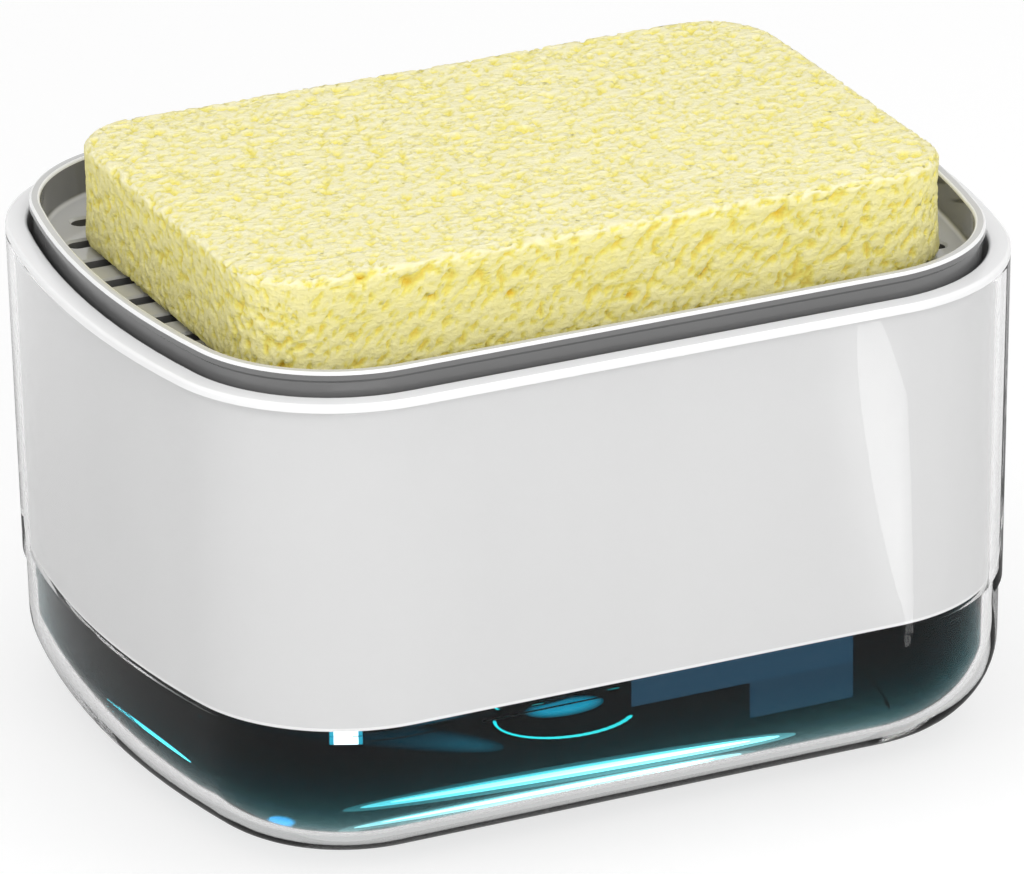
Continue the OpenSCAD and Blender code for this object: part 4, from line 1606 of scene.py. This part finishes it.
@dataclass
class Studio:
    """Floor, light and camera, set as the photograph was taken."""

    image_width: int = 1024
    azimuth: float = -24.7
    elevation: float = 22.7
    roll: float = -0.81
    distance: float = 1.348
    focal_pixels: float = 9312.0
    shift_left: float = 3.4
    shift_down: float = 22.9
    target_z: float = 36.5 * MM
    sensor: float = 36.0
    ambient: float = 0.55
    floor_white: float = 0.66
    floor_size: float = 8.0
    floor_z: float = -0.1 * MM
    # Painted shade: in reflections the floor is dimmed near the caddy, over this reach and between these
    # values.
    reflection_shade_reach: tuple[float, float] = (0.1, 0.24)
    reflection_shade_values: tuple[float, float] = (0.28, 1.0)

    def build(self) -> None:
        """Sets the whole studio up."""
        self.add_world()
        self.add_floor()
        target = Vector((0, 0, self.target_z))
        for softbox in SOFTBOXES:
            softbox.light(target)
        for strip in STRIPS:
            strip.light()
        self.add_camera(target)

    def add_world(self) -> None:
        """Makes a white world that lights softly and shows white to the camera, metal and glass."""
        world = bpy.data.worlds.new("studio")
        bpy.context.scene.world = world
        nodes = Nodes(world, "World")
        soft = nodes.add("ShaderNodeBackground", Strength=self.ambient).outputs["Background"]
        white = nodes.add("ShaderNodeBackground").outputs["Background"]
        nodes.surface(nodes.mix(nodes.seen_rays(), soft, white))

    def add_floor(self) -> None:
        """Lays the pale floor, which keeps a soft shadow and, in reflections, shows a painted shade that
        makes it dimmer near the caddy.
        """
        deselect_all()
        bpy.ops.mesh.primitive_plane_add(size=self.floor_size, location=(0, 0, self.floor_z))
        floor = bpy.context.object
        floor.name = "floor"
        nodes = Nodes.of_new("pale_floor")
        matte = nodes.add("ShaderNodeBsdfDiffuse", Color=(0.4, 0.4, 0.4, 1))
        bounce = nodes.add("ShaderNodeBsdfDiffuse", Color=(0.8, 0.8, 0.8, 1))
        glow = nodes.add("ShaderNodeEmission", Strength=self.floor_white)
        lit = nodes.add("ShaderNodeAddShader")
        nodes.link(matte.outputs["BSDF"], lit.inputs[0])
        nodes.link(glow.outputs["Emission"], lit.inputs[1])
        mirrored = nodes.add("ShaderNodeEmission")
        nodes.link(self.mirrored_floor(nodes), mirrored.inputs["Strength"])
        path = nodes.add("ShaderNodeLightPath")
        reflected = nodes.add("ShaderNodeMath", operation="SUBTRACT", use_clamp=True)
        nodes.link(path.outputs["Is Glossy Ray"], reflected.inputs[0])
        nodes.link(path.outputs["Is Transmission Ray"], reflected.inputs[1])
        seen = nodes.mix(nodes.seen_rays(), bounce.outputs["BSDF"], lit.outputs["Shader"])
        nodes.surface(nodes.mix(reflected.outputs[0], seen, mirrored.outputs["Emission"]))
        floor.data.materials.append(nodes.owner)

    def mirrored_floor(self, nodes: Nodes) -> Socket:
        """Gives the floor's brightness in reflections: a painted shade, dim near the caddy and white further
        away.

        Args:
            nodes: The floor's material.

        Returns:
            The brightness.
        """
        away = nodes.add("ShaderNodeVectorMath", operation="LENGTH")
        nodes.link(nodes.place(), away.inputs[0])
        return nodes.map_range(away.outputs["Value"], self.reflection_shade_reach, self.reflection_shade_values)

    def add_camera(self, target: Vector) -> None:
        """Sets the camera at the photograph's viewing angle.

        Args:
            target: The point that it looks at.
        """
        back = direction(self.azimuth, self.elevation)
        right = (-back).cross(Vector(UP)).normalized()
        up = right.cross(-back)
        turn = math.radians(self.roll)
        across = right * math.cos(turn) + up * math.sin(turn)
        upward = up * math.cos(turn) - right * math.sin(turn)
        lens = bpy.data.cameras.new("camera")
        lens.sensor_width = self.sensor
        lens.lens = self.focal_pixels / self.image_width * self.sensor
        lens.shift_x = self.shift_left / self.image_width
        lens.shift_y = self.shift_down / self.image_width
        lens.clip_start, lens.clip_end = 0.1, 20
        camera = bpy.data.objects.new("camera", lens)
        turned = Matrix((across, upward, back)).transposed().to_4x4()
        camera.matrix_world = Matrix.Translation(target + back * self.distance) @ turned
        bpy.context.scene.collection.objects.link(camera)
        bpy.context.scene.camera = camera


def main() -> None:
    """Builds the caddy and the studio."""
    logging.basicConfig(level=logging.INFO, format="%(name)s: %(message)s")
    Caddy(Finishes()).build()
    Studio().build()
    bpy.context.scene.view_settings.view_transform = "Standard"


if __name__ == "__main__":
    main()
